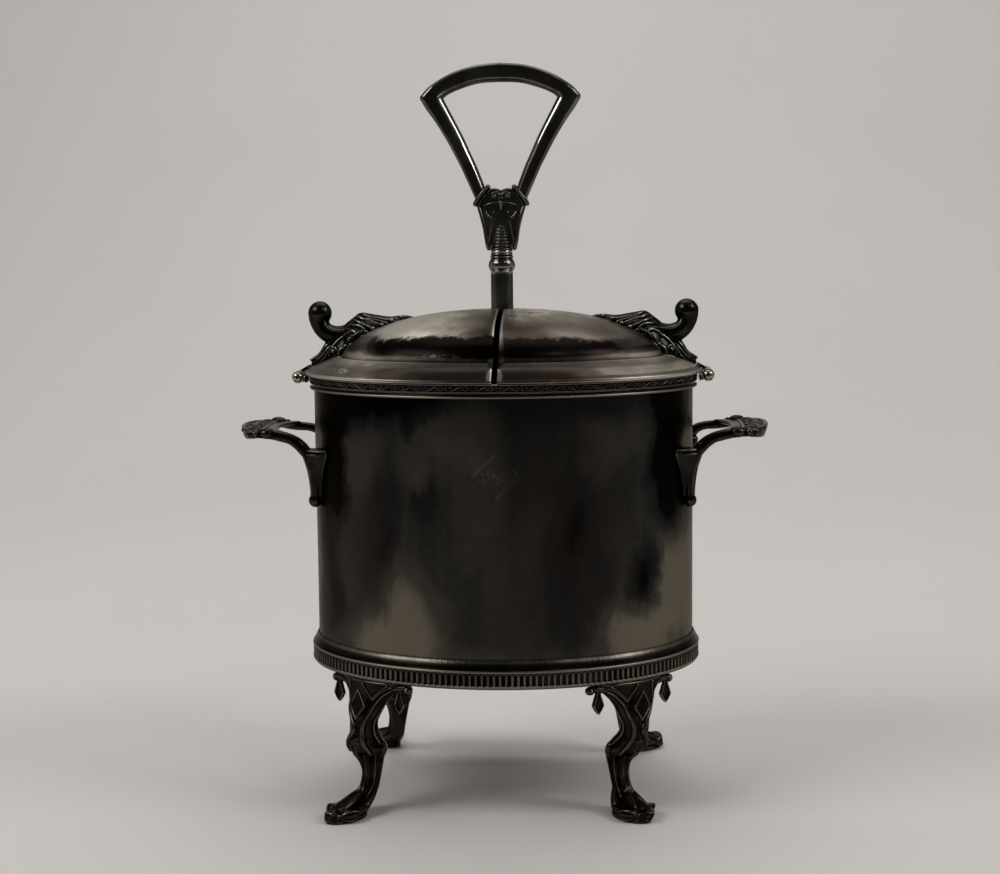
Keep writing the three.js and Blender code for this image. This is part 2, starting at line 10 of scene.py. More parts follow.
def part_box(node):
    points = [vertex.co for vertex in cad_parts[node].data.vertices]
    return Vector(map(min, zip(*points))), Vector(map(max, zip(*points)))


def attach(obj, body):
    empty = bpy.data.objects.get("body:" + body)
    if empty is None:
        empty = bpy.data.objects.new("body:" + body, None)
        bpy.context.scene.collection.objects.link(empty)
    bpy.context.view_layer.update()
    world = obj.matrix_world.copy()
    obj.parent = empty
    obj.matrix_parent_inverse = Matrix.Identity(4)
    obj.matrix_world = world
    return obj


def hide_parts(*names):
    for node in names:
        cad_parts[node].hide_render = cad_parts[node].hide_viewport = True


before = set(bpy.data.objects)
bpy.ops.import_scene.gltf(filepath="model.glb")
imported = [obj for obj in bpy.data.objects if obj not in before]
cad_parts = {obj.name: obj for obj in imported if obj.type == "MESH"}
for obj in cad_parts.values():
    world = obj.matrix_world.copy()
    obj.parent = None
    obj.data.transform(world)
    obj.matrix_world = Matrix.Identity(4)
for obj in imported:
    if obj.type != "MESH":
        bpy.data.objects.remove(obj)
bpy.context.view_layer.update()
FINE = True

MM = 0.001
A, B = 80.35, 61.9
GAP = 0.3
LEG_X, LEG_Y, LEG_CURVE = 54.0, 45.9, 77.0
DOME_A, DOME_B, DOME_Z, DOME_H = 68.0, 51.0, 185.4, 19.8
SLIT, HOLE_R = 1.2, 6.4
HX, HZ = 86.3, 177.1


# ------------------------------------------------------------------ mesh helpers
def arr(points):
    return np.array(points, float)


def spline(points, n):
    """Centripetal-free Catmull-Rom through the rows of points, n rows out."""
    p = arr(points)
    m = len(p)
    ext = np.vstack([2 * p[0] - p[1], p, 2 * p[-1] - p[-2]])
    t = np.linspace(0, m - 1, n)
    i = np.minimum(t.astype(int), m - 2)
    f = (t - i)[:, None]
    p0, p1, p2, p3 = ext[i], ext[i + 1], ext[i + 2], ext[i + 3]
    return 0.5 * (2 * p1 + (p2 - p0) * f + (2 * p0 - 5 * p1 + 4 * p2 - p3) * f ** 2 + (3 * p1 - p0 - 3 * p2 + p3) * f ** 3)


def smoothstep(e0, e1, x):
    t = np.clip((x - e0) / (e1 - e0), 0, 1)
    return t * t * (3 - 2 * t)


def grid_faces(nu, nv, wrap_u, wrap_v):
    i = np.arange(nu if wrap_u else nu - 1)
    j = np.arange(nv if wrap_v else nv - 1)
    i, j = np.meshgrid(i, j, indexing="ij")
    i, j = i.ravel(), j.ravel()
    i2, j2 = (i + 1) % nu, (j + 1) % nv
    return np.stack([i * nv + j, i2 * nv + j, i2 * nv + j2, i * nv + j2], 1)


def outward(v, faces):
    """Turns every face over if the closed shell is inside out."""
    vol = 0.0
    for f in faces:
        for k in range(1, f.shape[1] - 1):
            a, b, c = v[f[:, 0]], v[f[:, k]], v[f[:, k + 1]]
            vol += float(np.einsum("ij,ij->i", a, np.cross(b, c)).sum())
    return [f[:, ::-1] for f in faces] if vol < 0 else faces


def shell(rings, wrap_u):
    """Closed shell from rings (nu, nv, 3): each ring is closed, and the ends are capped unless wrap_u."""
    rings = arr(rings)
    nu, nv, _ = rings.shape
    v = rings.reshape(-1, 3)
    faces = [grid_faces(nu, nv, wrap_u, True)]
    if not wrap_u:
        ends = []
        for e in (0, nu - 1):
            c = len(v)
            v = np.vstack([v, rings[e].mean(0)])
            k = np.arange(nv)
            k2 = (k + 1) % nv
            tri = np.stack([np.full(nv, c), e * nv + k2, e * nv + k], 1)
            ends.append(tri if e == 0 else tri[:, ::-1])
        faces += ends
    return v, outward(v, faces)


def build(name, parts):
    """One mesh from several closed shells, in metres."""
    verts, quads, tris, base = [], [], [], 0
    for v, faces in parts:
        verts.append(v)
        for f in faces:
            (quads if f.shape[1] == 4 else tris).append(f + base)
        base += len(v)
    v = np.vstack(verts)
    loops, totals = [], []
    for group, size in ((quads, 4), (tris, 3)):
        if group:
            g = np.vstack(group)
            loops.append(g.ravel())
            totals.append(np.full(len(g), size))
    loops, totals = np.concatenate(loops), np.concatenate(totals)
    starts = np.concatenate([[0], np.cumsum(totals)[:-1]])
    me = bpy.data.meshes.new(name)
    me.vertices.add(len(v))
    me.vertices.foreach_set("co", (v * MM).astype(np.float32).ravel())
    me.loops.add(len(loops))
    me.loops.foreach_set("vertex_index", loops.astype(np.int32))
    me.polygons.add(len(totals))
    me.polygons.foreach_set("loop_start", starts.astype(np.int32))
    me.update(calc_edges=True)
    me.validate()
    return me


def coords(me):
    co = np.zeros(len(me.vertices) * 3, np.float32)
    me.vertices.foreach_get("co", co)
    return co.reshape(-1, 3).astype(float)


def edge_pairs(me):
    e = np.zeros(len(me.edges) * 2, np.int32)
    me.edges.foreach_get("vertices", e)
    return e.reshape(-1, 2)


def smoothed(p, e, rounds, amount=0.5):
    n = len(p)
    deg = np.maximum(np.bincount(e.ravel(), minlength=n), 1)[:, None]
    for _ in range(rounds):
        s = np.stack([np.bincount(e[:, 0], p[e[:, 1], k], n) + np.bincount(e[:, 1], p[e[:, 0], k], n) for k in range(3)], 1)
        p = p + amount * (s / deg - p)
    return p


def mark_relief(me, rounds=9):
    """Stores how far each point stands out from (+) or lies in (-) its surroundings, in mm, for wear, and for grime and
    painted shade in the hollows.
    """
    p, e = coords(me), edge_pairs(me)
    n = np.zeros(len(p) * 3, np.float32)
    me.vertices.foreach_get("normal", n)
    h = ((p - smoothed(p, e, rounds)) * n.reshape(-1, 3)).sum(1) / MM
    at = me.attributes.new("relief", "FLOAT", "POINT")
    at.data.foreach_set("value", h.astype(np.float32))


def place(name, me, mat, body, nodes, sharp=None, rounds=9):
    if FINE and mat in (CAST, LEG, LEAF, BAND, TRIM, GLOSS):  # same reach on the finer mesh
        rounds = round(rounds * 2.6)
    mark_relief(me, rounds)
    me.shade_smooth()
    if sharp is not None:
        me.set_sharp_from_angle(angle=math.radians(sharp))
    me.materials.append(mat)
    ob = bpy.data.objects.new(name, me)
    bpy.context.scene.collection.objects.link(ob)
    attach(ob, body)
    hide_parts(*nodes)
    return ob


def cast(name, parts, voxel, node=None, taubin=2, limits=None):
    """Fuses overlapping shells into one casting and softens it, kept inside the CAD node's box."""
    me = build(name, parts)
    tmp = bpy.data.objects.new(name + "_raw", me)
    bpy.context.scene.collection.objects.link(tmp)
    mod = tmp.modifiers.new("fuse", "REMESH")
    mod.mode = "VOXEL"
    mod.voxel_size = voxel * MM
    mod.adaptivity = 0.0
    dg = bpy.context.evaluated_depsgraph_get()
    out = bpy.data.meshes.new_from_object(tmp.evaluated_get(dg))
    out.name = name
    bpy.data.objects.remove(tmp)
    bpy.data.meshes.remove(me)
    p, e = coords(out), edge_pairs(out)
    for _ in range(taubin):
        p = smoothed(p, e, 1, 0.6)
        p = smoothed(p, e, 1, -0.58)
    if node is not None:
        lo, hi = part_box(node)
        p = np.clip(p, arr(lo), arr(hi))
    if limits is not None:
        p = limits(p / MM) * MM
    out.vertices.foreach_set("co", p.astype(np.float32).ravel())
    out.update()
    return out


def tube(path, radius, side=(0, 0, 1), sides=16, flat=1.0, power=1.0, n=None, ends=True):
    """Closed swept bar. radius may be one number, or (n,) or (n, 2) half sizes across and along the side vector."""
    path = arr(path)
    rad = np.broadcast_to(arr(radius).reshape(-1, 1) if np.ndim(radius) == 1 else arr(radius), (len(path), 2) if np.ndim(radius) else (len(path), 2)).copy() if np.ndim(radius) != 2 else arr(radius)
    if np.ndim(radius) == 1:
        rad = np.stack([arr(radius), arr(radius)], 1)
    if n:
        both = spline(np.hstack([path, rad]), n)
        path, rad = both[:, :3], np.maximum(both[:, 3:], 0.01)
    t = np.gradient(path, axis=0)
    t /= np.linalg.norm(t, axis=1)[:, None] + 1e-12
    s = np.broadcast_to(arr(side), t.shape).copy()
    s -= (s * t).sum(1)[:, None] * t
    s /= np.linalg.norm(s, axis=1)[:, None] + 1e-12
    u = np.cross(t, s)
    f = np.linspace(0, 2 * math.pi, sides, endpoint=False)
    c, d = np.cos(f), np.sin(f)
    c = np.sign(c) * np.abs(c) ** power
    d = np.sign(d) * np.abs(d) ** power
    rings = path[:, None] + s[:, None] * (c[None, :, None] * rad[:, None, :1]) + u[:, None] * (d[None, :, None] * rad[:, None, 1:] * flat)
    if ends:  # rounded ends
        first, last = [], []
        for q in (0.35, 0.7, 0.92):
            k = math.sqrt(1 - q * q)
            first.insert(0, path[0] - t[0] * rad[0].min() * q + (rings[0] - path[0]) * k)
            last.append(path[-1] + t[-1] * rad[-1].min() * q + (rings[-1] - path[-1]) * k)
        rings = np.concatenate([arr(first), rings, arr(last)])
    return shell(rings, False)


def blob(c, r, x=(1, 0, 0), z=(0, 0, 1), nu=24, nv=20):
    """Ellipsoid with half sizes r along its own axes."""
    x, z = arr(x) / np.linalg.norm(x), arr(z)
    y = np.cross(z, x)
    y /= np.linalg.norm(y)
    z = np.cross(x, y)
    a = np.linspace(0.02, math.pi - 0.02, nu)
    b = np.linspace(0, 2 * math.pi, nv, endpoint=False)
    sa, ca = np.sin(a)[:, None], np.cos(a)[:, None]
    local = np.stack([sa * np.cos(b) * r[0], sa * np.sin(b) * r[1], ca * np.ones_like(b) * r[2]], 2)
    return shell(arr(c) + local @ np.stack([x, y, z]), False)


def turned(profile, seg=96, closed=False):
    """Solid of revolution round Z from [r, z] rows; the ends on the axis are capped."""
    p = arr(profile)
    f = np.linspace(0, 2 * math.pi, seg, endpoint=False)
    r = np.maximum(p[:, 0], 1e-3)[:, None]
    rings = np.stack([r * np.cos(f), r * np.sin(f), p[:, 1:2] * np.ones_like(f)], 2)
    return shell(rings, closed)


def turn_xyz(part, fn):
    v, f = part
    v = fn(v)
    return v, outward(v, f)


def mirrored(part, sx=1, sy=1):
    v, f = part
    v = v * arr([sx, sy, 1])
    return v, ([q[:, ::-1] for q in f] if sx * sy < 0 else f)


def oval_t(a, b, n):
    """n parameters at equal steps of length round the ellipse."""
    t = np.linspace(0, 2 * math.pi, 20001)
    ds = np.hypot(a * np.sin(t), b * np.cos(t))
    s = np.concatenate([[0], np.cumsum((ds[1:] + ds[:-1]) / 2 * np.diff(t))])
    return np.interp(np.linspace(0, s[-1], n, endpoint=False), s, t), s[-1]


def oval_ring(offset, z, t):
    """Closed ring from offsets (n, k) or (k,) and heights (n, k) or (k,) at parameters t."""
    n, k = len(t), np.shape(offset)[-1]
    o = np.broadcast_to(offset, (n, k))
    z = np.broadcast_to(z, (n, k))
    return shell(np.stack([(A + o) * np.cos(t)[:, None], (B + o) * np.sin(t)[:, None], z], 2), True)


# ------------------------------------------------------------------ materials
class Net:
    def __init__(self, name):
        self.mat = bpy.data.materials.new(name)
        self.mat.use_nodes = True
        self.t = self.mat.node_tree
        self.t.nodes.clear()
        self.out = self.t.nodes.new("ShaderNodeOutputMaterial")
        self.bsdf = self.t.nodes.new("ShaderNodeBsdfPrincipled")
        self.t.links.new(self.bsdf.outputs[0], self.out.inputs[0])
        self.tc = self.t.nodes.new("ShaderNodeTexCoord")
        self.obj = self.tc.outputs["Object"]

    def put(self, socket, value):
        if isinstance(value, bpy.types.NodeSocket):
            self.t.links.new(value, socket)
        else:
            socket.default_value = value

    def math(self, op, a, b=0.0, c=0.0, clamp=False):
        n = self.t.nodes.new("ShaderNodeMath")
        n.operation, n.use_clamp = op, clamp
        self.put(n.inputs[0], a)
        self.put(n.inputs[1], b)
        self.put(n.inputs[2], c)
        return n.outputs[0]

    def mul(self, a, b):
        return self.math("MULTIPLY", a, b)

    def add(self, a, b, clamp=False):
        return self.math("ADD", a, b, clamp=clamp)

    def sub(self, a, b, clamp=False):
        return self.math("SUBTRACT", a, b, clamp=clamp)

    def scaled(self, x, y, z):
        n = self.t.nodes.new("ShaderNodeMapping")
        n.inputs["Scale"].default_value = (x, y, z)
        self.t.links.new(self.obj, n.inputs["Vector"])
        return n.outputs[0]

    def noise(self, vec, scale, detail=4.0, rough=0.55, warp=0.0):
        n = self.t.nodes.new("ShaderNodeTexNoise")
        n.inputs["Scale"].default_value = scale
        n.inputs["Detail"].default_value = detail
        n.inputs["Roughness"].default_value = rough
        n.inputs["Distortion"].default_value = warp
        self.put(n.inputs["Vector"], vec)
        return n.outputs["Fac"]

    def step(self, x, lo, hi, a=0.0, b=1.0):
        n = self.t.nodes.new("ShaderNodeMapRange")
        n.interpolation_type = "SMOOTHSTEP"
        self.put(n.inputs["Value"], x)
        self.put(n.inputs["From Min"], lo)
        self.put(n.inputs["From Max"], hi)
        self.put(n.inputs["To Min"], a)
        self.put(n.inputs["To Max"], b)
        return n.outputs["Result"]

    def mix(self, f, a, b):
        n = self.t.nodes.new("ShaderNodeMix")
        n.data_type = "RGBA"
        n.clamp_factor = True
        self.put(n.inputs[0], f)
        for s, v in ((6, a), (7, b)):
            self.put(n.inputs[s], v if isinstance(v, bpy.types.NodeSocket) else (*v, 1.0))
        return n.outputs[2]

    def attr(self, name):
        n = self.t.nodes.new("ShaderNodeAttribute")
        n.attribute_name = name
        return n.outputs["Fac"]

    def xyz(self):
        n = self.t.nodes.new("ShaderNodeSeparateXYZ")
        self.t.links.new(self.obj, n.inputs[0])
        return n.outputs[0], n.outputs[1], n.outputs[2]

    def bump(self, layers):
        """layers: (height, distance in metres, strength)."""
        last = None
        for height, dist, strength in layers:
            n = self.t.nodes.new("ShaderNodeBump")
            n.inputs["Strength"].default_value = strength
            n.inputs["Distance"].default_value = dist
            self.put(n.inputs["Height"], height)
            if last is not None:
                self.t.links.new(last, n.inputs["Normal"])
            last = n.outputs[0]
        self.t.links.new(last, self.bsdf.inputs["Normal"])


def sheet_silver(name, kind):
    """Sheet metal under uneven tarnish, with painted highlights, reflections and shading among its light and dark
    areas. kind places the light and dark areas: body, lid, inner or trim.
    """
    m = Net(name)
    x, y, z = m.xyz()
    cloud = m.noise(m.scaled(1, 1, 0.55), 26.0, 5, 0.6, 0.4)
    cloud2 = m.noise(m.scaled(1, 1, 0.9), 41.0, 4, 0.6, 0.2)
    streak = m.noise(m.scaled(1, 1, 0.14), 105.0, 4, 0.65, 0.2)
    scratch = m.noise(m.scaled(1, 1, 0.05), 420.0, 3, 0.6)
    fine = m.noise(m.obj, 420.0, 4, 0.65)
    rag = m.add(m.mul(m.sub(cloud, 0.5), 1.0), m.add(m.mul(m.sub(streak, 0.5), 0.55), m.mul(m.sub(fine, 0.5), 0.35)))
    # ragged coordinates, so that no patch has a straight edge
    xr = m.add(x, m.add(m.mul(m.sub(cloud2, 0.5), 0.020), m.add(m.mul(m.sub(streak, 0.5), 0.002), m.mul(m.sub(fine, 0.5), 0.0012))))
    zr = m.add(z, m.add(m.mul(m.sub(cloud, 0.5), 0.050), m.add(m.mul(m.sub(streak, 0.5), 0.003), m.mul(m.sub(scratch, 0.5), 0.002))))

    def spot(cx, cz, rx, rz, strength):
        """Soft round area centred on object x, z."""
        dx = m.math("DIVIDE", m.sub(xr, cx), rx)
        dz = m.math("DIVIDE", m.sub(zr, cz), rz)
        d = m.math("SQRT", m.add(m.mul(dx, dx), m.mul(dz, dz)))
        return m.mul(m.step(d, 0.0, 1.0, 1.0, 0.0), strength)

    def area(x0, x1, z0, z1, sx, sz, strength):
        """Area between x0..x1 and z0..z1 with edges sx and sz wide."""
        q = m.mul(m.step(xr, x0 - sx, x0 + sx), m.step(xr, x1 + sx, x1 - sx))
        q = m.mul(q, m.mul(m.step(zr, z0 - sz, z0 + sz), m.step(zr, z1 + sz, z1 - sz)))
        return m.mul(q, strength)

    def total(first, *more):
        for q in more:
            first = m.add(first, q)
        return first

    warm = None
    if kind == "body":
        # pale patches; the narrow strips at the far left and right ends of the wall are painted reflections of the
        # bright surroundings
        light = total(
            area(-0.068, -0.045, 0.092, 0.158, 0.008, 0.020, 0.16),
            spot(-0.037, 0.078, 0.021, 0.040, 0.68),
            spot(-0.054, 0.072, 0.020, 0.020, 0.46),
            spot(-0.024, 0.149, 0.020, 0.024, 0.28),
            spot(0.044, 0.158, 0.022, 0.022, 0.14),
            area(0.062, 0.083, 0.070, 0.122, 0.007, 0.018, 0.46),
            spot(0.052, 0.078, 0.022, 0.021, 0.58),
            area(0.0755, 0.083, 0.066, 0.100, 0.003, 0.016, 0.52),
            area(-0.090, 0.090, 0.050, 0.069, 0.010, 0.007, 0.15),
            spot(-0.007, 0.148, 0.016, 0.055, 0.24),
            spot(-0.054, 0.106, 0.010, 0.034, 0.26),
            area(-0.083, -0.0765, 0.070, 0.175, 0.002, 0.008, 0.45),
            area(0.0765, 0.083, 0.125, 0.175, 0.002, 0.008, 0.42),
        )
        dark = total(
            area(-0.058, -0.044, 0.092, 0.130, 0.009, 0.019, 0.62),
            area(-0.074, -0.064, 0.124, 0.180, 0.004, 0.020, 0.66),
            area(-0.072, -0.066, 0.078, 0.130, 0.004, 0.018, 0.22),
            area(0.062, 0.0735, 0.124, 0.180, 0.005, 0.018, 0.85),
            spot(0.0605, 0.099, 0.010, 0.022, 0.58),
            spot(0.031, 0.120, 0.016, 0.026, 0.26),
            spot(-0.028, 0.130, 0.008, 0.014, 0.18),
            m.mul(m.step(zr, 0.152, 0.180), 0.26),
            spot(-0.046, 0.174, 0.036, 0.020, 0.45),
            spot(0.030, 0.094, 0.022, 0.032, 0.22),
        )
        level = m.add(m.sub(m.add(0.462, light), dark), m.mul(rag, 0.30))
        warm = m.add(m.step(m.noise(m.scaled(1, 1, 0.4), 19.0, 3, 0.5), 0.48, 0.66), area(-0.068, -0.045, 0.070, 0.158, 0.008, 0.020, 0.8))
        ramp = ((0.0, (0.0026, 0.0025, 0.0024)), (0.34, (0.0168, 0.0176, 0.0172)), (0.62, (0.0565, 0.0512, 0.0425)), (1.0, (0.155, 0.137, 0.105)))
        warm = m.mul(warm, m.step(level, 0.04, 0.30, 0.10, 0.85))
        tint = (0.036, 0.026, 0.021)
        rough = m.add(m.mul(level, 0.06), 0.31)
    elif kind == "lid":
        ex = m.math("DIVIDE", x, DOME_A * MM)
        ey = m.math("DIVIDE", y, DOME_B * MM)
        rim = m.math("SQRT", m.add(m.mul(ex, ex), m.mul(ey, ey)))  # 0 at the crown, 1 where the dome meets the flange
        ragged = m.add(rim, m.add(m.mul(m.sub(cloud2, 0.5), 0.20), m.mul(m.sub(fine, 0.5), 0.12)))
        left = m.step(x, 0.001, -0.001)
        right = m.sub(1.0, left)
        dome_on = m.step(rim, 1.0, 0.988)
        front = m.step(y, 0.004, -0.010)
        # left half: pale crown painted as a highlight, dark ragged patch low on the dome with a thin broken painted
        # highlight line under it
        low_l = m.mul(m.step(m.sub(ragged, m.step(x, -0.020, -0.042, 0.0, 0.03)), 0.840, 0.905), m.mul(m.step(x, -0.058, -0.045), front))
        lev_l = m.add(0.89, m.sub(m.mul(rag, 0.60), m.mul(low_l, 1.10)))
        lev_l = m.sub(lev_l, m.mul(m.step(ragged, 0.66, 0.86), m.mul(m.step(x, -0.034, -0.012), 0.30)))
        lev_l = m.sub(lev_l, m.mul(m.step(rim, 0.80, 0.98), m.step(x, -0.040, -0.060, 0.0, 0.42)))
        lev_l = m.sub(lev_l, m.mul(m.step(xr, -0.022, -0.004), m.step(ragged, 0.05, 0.30, 0.0, 0.36)))
        # thin broken painted highlight at the foot of the left dome, in front
        glint_line = m.mul(m.step(m.noise(m.scaled(1, 1, 2), 260.0, 3, 0.7), 0.47, 0.55), m.mul(m.step(rim, 0.978, 0.984), m.step(m.math("ABSOLUTE", m.add(x, 0.018)), 0.014, 0.008)))
        lev_l = m.add(lev_l, m.mul(m.mul(glint_line, front), 0.42))
        # right half: maroon brown painted as a reflection, pale flecks beside the slit, dark band low down
        fleck = m.mul(m.step(m.add(m.noise(m.obj, 150.0, 4, 0.7), m.mul(m.sub(cloud, 0.5), 0.5)), 0.48, 0.58), m.step(ragged, 0.62, 0.40))
        fleck = m.mul(fleck, m.step(x, 0.026, 0.016))
        band_r = m.mul(m.step(ragged, 0.865, 0.925), m.mul(m.step(xr, 0.000, 0.024, 0.35, 1.0), m.step(x, 0.057, 0.042, 0.15, 1.0)))
        lev_r = m.add(m.add(m.step(rim, 0.50, 0.86, 0.76, 0.54), m.mul(rag, 0.45)), m.mul(fleck, 0.45))
        lev_r = m.sub(lev_r, m.mul(m.mul(band_r, front), 0.62))
        lev_r = m.sub(lev_r, m.add(m.mul(m.step(rim, 0.960, 0.975), 0.20), m.mul(m.step(ragged, 0.62, 0.84), m.step(x, 0.030, 0.012, 0.0, 0.22))))
        on_dome = m.add(m.mul(left, lev_l), m.mul(right, lev_r))
        # flange: painted shading, light beside the dome and dark brown at its edge, with a few pale stains
        k = m.math("SQRT", m.add(m.math("POWER", m.math("DIVIDE", x, 0.08335), 2.0), m.math("POWER", m.math("DIVIDE", y, 0.06492), 2.0)))
        stain = m.mul(m.step(m.add(m.noise(m.scaled(1, 1, 3), 120.0, 4, 0.7, 0.4), m.mul(m.sub(cloud, 0.5), 0.5)), 0.62, 0.72), 0.26)
        ends = m.step(m.math("ABSOLUTE", x), 0.024, 0.068)
        lev_f = m.add(m.add(m.step(k, 0.845, 0.965, 0.44, 0.04), m.mul(ends, m.step(k, 0.87, 0.98, 0.46, 0.58))), m.add(m.mul(rag, 0.34), stain))
        lev_f = m.add(lev_f, m.mul(m.step(x, 0.026, 0.044), m.mul(m.step(k, 0.90, 0.93), m.step(k, 0.985, 0.975, 0.0, 0.22))))
        # thin painted highlight along the top of the edge lip
        lev_f = m.add(lev_f, m.step(k, 0.9985, 1.0015, 0.0, 0.14))
        level = m.add(m.mul(dome_on, on_dome), m.mul(m.sub(1.0, dome_on), lev_f))
        # rubbed edge of the left half along the slit
        level = m.add(level, m.mul(m.mul(left, m.step(x, -0.0019, -0.0015)), 0.40))
        # the right dome takes the maroon tint as a painted reflection; elsewhere warm tarnish patches
        warm = m.mul(m.add(m.mul(right, m.mul(dome_on, 0.85)), m.mul(m.step(m.noise(m.obj, 24.0, 3, 0.5), 0.46, 0.64), 0.7)), m.step(level, 0.04, 0.34, 0.10, 1.0))
        ramp = ((0.0, (0.0055, 0.0042, 0.0036)), (0.34, (0.045, 0.037, 0.032)), (0.62, (0.170, 0.150, 0.128)), (1.0, (0.560, 0.520, 0.450)))
        tint = (0.078, 0.052, 0.042)
        rough = m.add(m.mul(level, 0.08), 0.29)
    elif kind == "inner":
        level = m.add(0.55, m.mul(rag, 0.9))
        warm = m.step(m.noise(m.obj, 30.0, 3, 0.5), 0.50, 0.66)
        ramp = ((0.0, (0.050, 0.046, 0.040)), (0.34, (0.130, 0.120, 0.102)), (0.62, (0.210, 0.195, 0.168)), (1.0, (0.400, 0.375, 0.325)))
        tint = (0.120, 0.090, 0.065)
        rough = m.add(m.mul(level, 0.06), 0.32)
    else:
        level = m.add(0.20, m.mul(rag, 0.50))
        # painted highlight bands along the fillet of the foot moulding, its row of dots, and the bead under the rim
        for zc, half, up in ((0.06345, 0.00045, 0.62), (0.0574, 0.00035, 0.25), (0.1730, 0.00045, 0.50)):
            level = m.add(level, m.mul(m.step(m.math("ABSOLUTE", m.sub(z, zc)), half + 0.00025, half), up))
        warm = m.step(m.noise(m.obj, 40.0, 3, 0.5), 0.45, 0.65)
        ramp = ((0.0, (0.0045, 0.0042, 0.0040)), (0.34, (0.018, 0.016, 0.014)), (0.62, (0.060, 0.052, 0.043)), (1.0, (0.230, 0.205, 0.165)))
        tint = (0.045, 0.032, 0.024)
        rough = m.add(m.mul(level, 0.08), 0.27)
    # raised parts paler with wear; hollows darker with tarnish and painted shade
    relief = m.attr("relief")
    worn = m.step(relief, 0.02, 0.14)
    sunk = m.step(relief, -0.015, -0.12)
    level = m.sub(m.add(level, m.mul(worn, 0.55 if kind == "trim" else 0.40)), m.mul(sunk, 0.5))
    colour = ramp[0][1]
    for (l0, _), (l1, c1) in zip(ramp, ramp[1:]):
        colour = m.mix(m.step(level, l0, l1), colour, c1)
    colour = m.mix(m.mul(warm, m.step(level, 0.85, 0.20, 0.0, 0.50)), colour, tint)
    # small dark specks
    speck = m.noise(m.obj, 900.0, 2, 0.5)
    colour = m.mix(m.mul(m.step(speck, 0.70, 0.76), 0.5), colour, ramp[0][1])
    if kind == "body":  # the inside of the vessel is cleaner
        ex = m.math("DIVIDE", x, A * MM)
        ey = m.math("DIVIDE", y, B * MM)
        rho = m.math("SQRT", m.add(m.mul(ex, ex), m.mul(ey, ey)))
        inside = m.step(rho, 0.9915, 0.9885)
        pale = m.mix(m.step(m.add(0.5, rag), 0.2, 0.9), (0.13, 0.12, 0.10), (0.34, 0.32, 0.275))
        colour = m.mix(inside, colour, pale)
        # engraved foliate diamond in the place of the monogram
        ax = m.math("ABSOLUTE", x)
        az = m.math("ABSOLUTE", m.sub(z, 0.1415))
        line = None
        for w, h, half in ((0.0105, 0.0093, 0.00010), (0.0094, 0.0082, 0.00006)):
            d = m.sub(m.add(m.math("DIVIDE", ax, w), m.math("DIVIDE", az, h)), 1.0)
            d = m.mul(m.math("ABSOLUTE", d), w * 0.66)
            q = m.step(d, half, half + 0.00013, 1.0, 0.0)
            line = q if line is None else m.math("MAXIMUM", line, q)
        ang = m.math("ARCTAN2", m.sub(z, 0.1415), x)
        rr = m.math("SQRT", m.add(m.mul(x, x), m.mul(m.sub(z, 0.1415), m.sub(z, 0.1415))))
        for lobes, size, turn in ((4.0, 0.0060, 0.0), (4.0, 0.0042, math.pi / 4)):
            petal = m.mul(m.math("ABSOLUTE", m.math("COSINE", m.mul(m.add(ang, turn), lobes / 2))), size)
            d = m.math("ABSOLUTE", m.sub(rr, petal))
            q = m.step(d, 0.00007, 0.00022, 1.0, 0.0)
            line = m.math("MAXIMUM", line, q)
        line = m.mul(m.mul(line, m.step(y, 0.0, -0.01)), m.step(rho, 0.985, 0.995))
        colour = m.mix(m.mul(line, 0.70), colour, (0.0035, 0.003, 0.0025))
        groove = m.mul(line, -1.0)
    m.put(m.bsdf.inputs["Base Color"], colour)
    m.bsdf.inputs["Metallic"].default_value = 1.0
    m.bsdf.inputs["Specular Tint"].default_value = (0.56, 0.545, 0.52, 1.0)
    wear = m.noise(m.scaled(1, 1, 0.5), 60.0, 5, 0.7)
    rough = m.add(rough, m.mul(m.sub(wear, 0.5), 0.22))
    m.put(m.bsdf.inputs["Roughness"], m.math("MAXIMUM", m.math("MINIMUM", rough, 0.6), 0.16))
    if kind == "lid":
        hair = m.noise(m.scaled(1.0, 14.0, 1.0), 260.0, 3, 0.6)
    else:
        hair = m.noise(m.scaled(0.06, 0.06, 1.6), 900.0, 3, 0.6)
    layers = [(hair, 0.00006, 0.30), (m.noise(m.obj, 48.0, 3, 0.5), 0.0010, 0.08), (fine, 0.00008, 0.25)]
    if kind == "body":
        layers.append((groove, 0.00014, 0.6))
    m.bump(layers)
    return m.mat


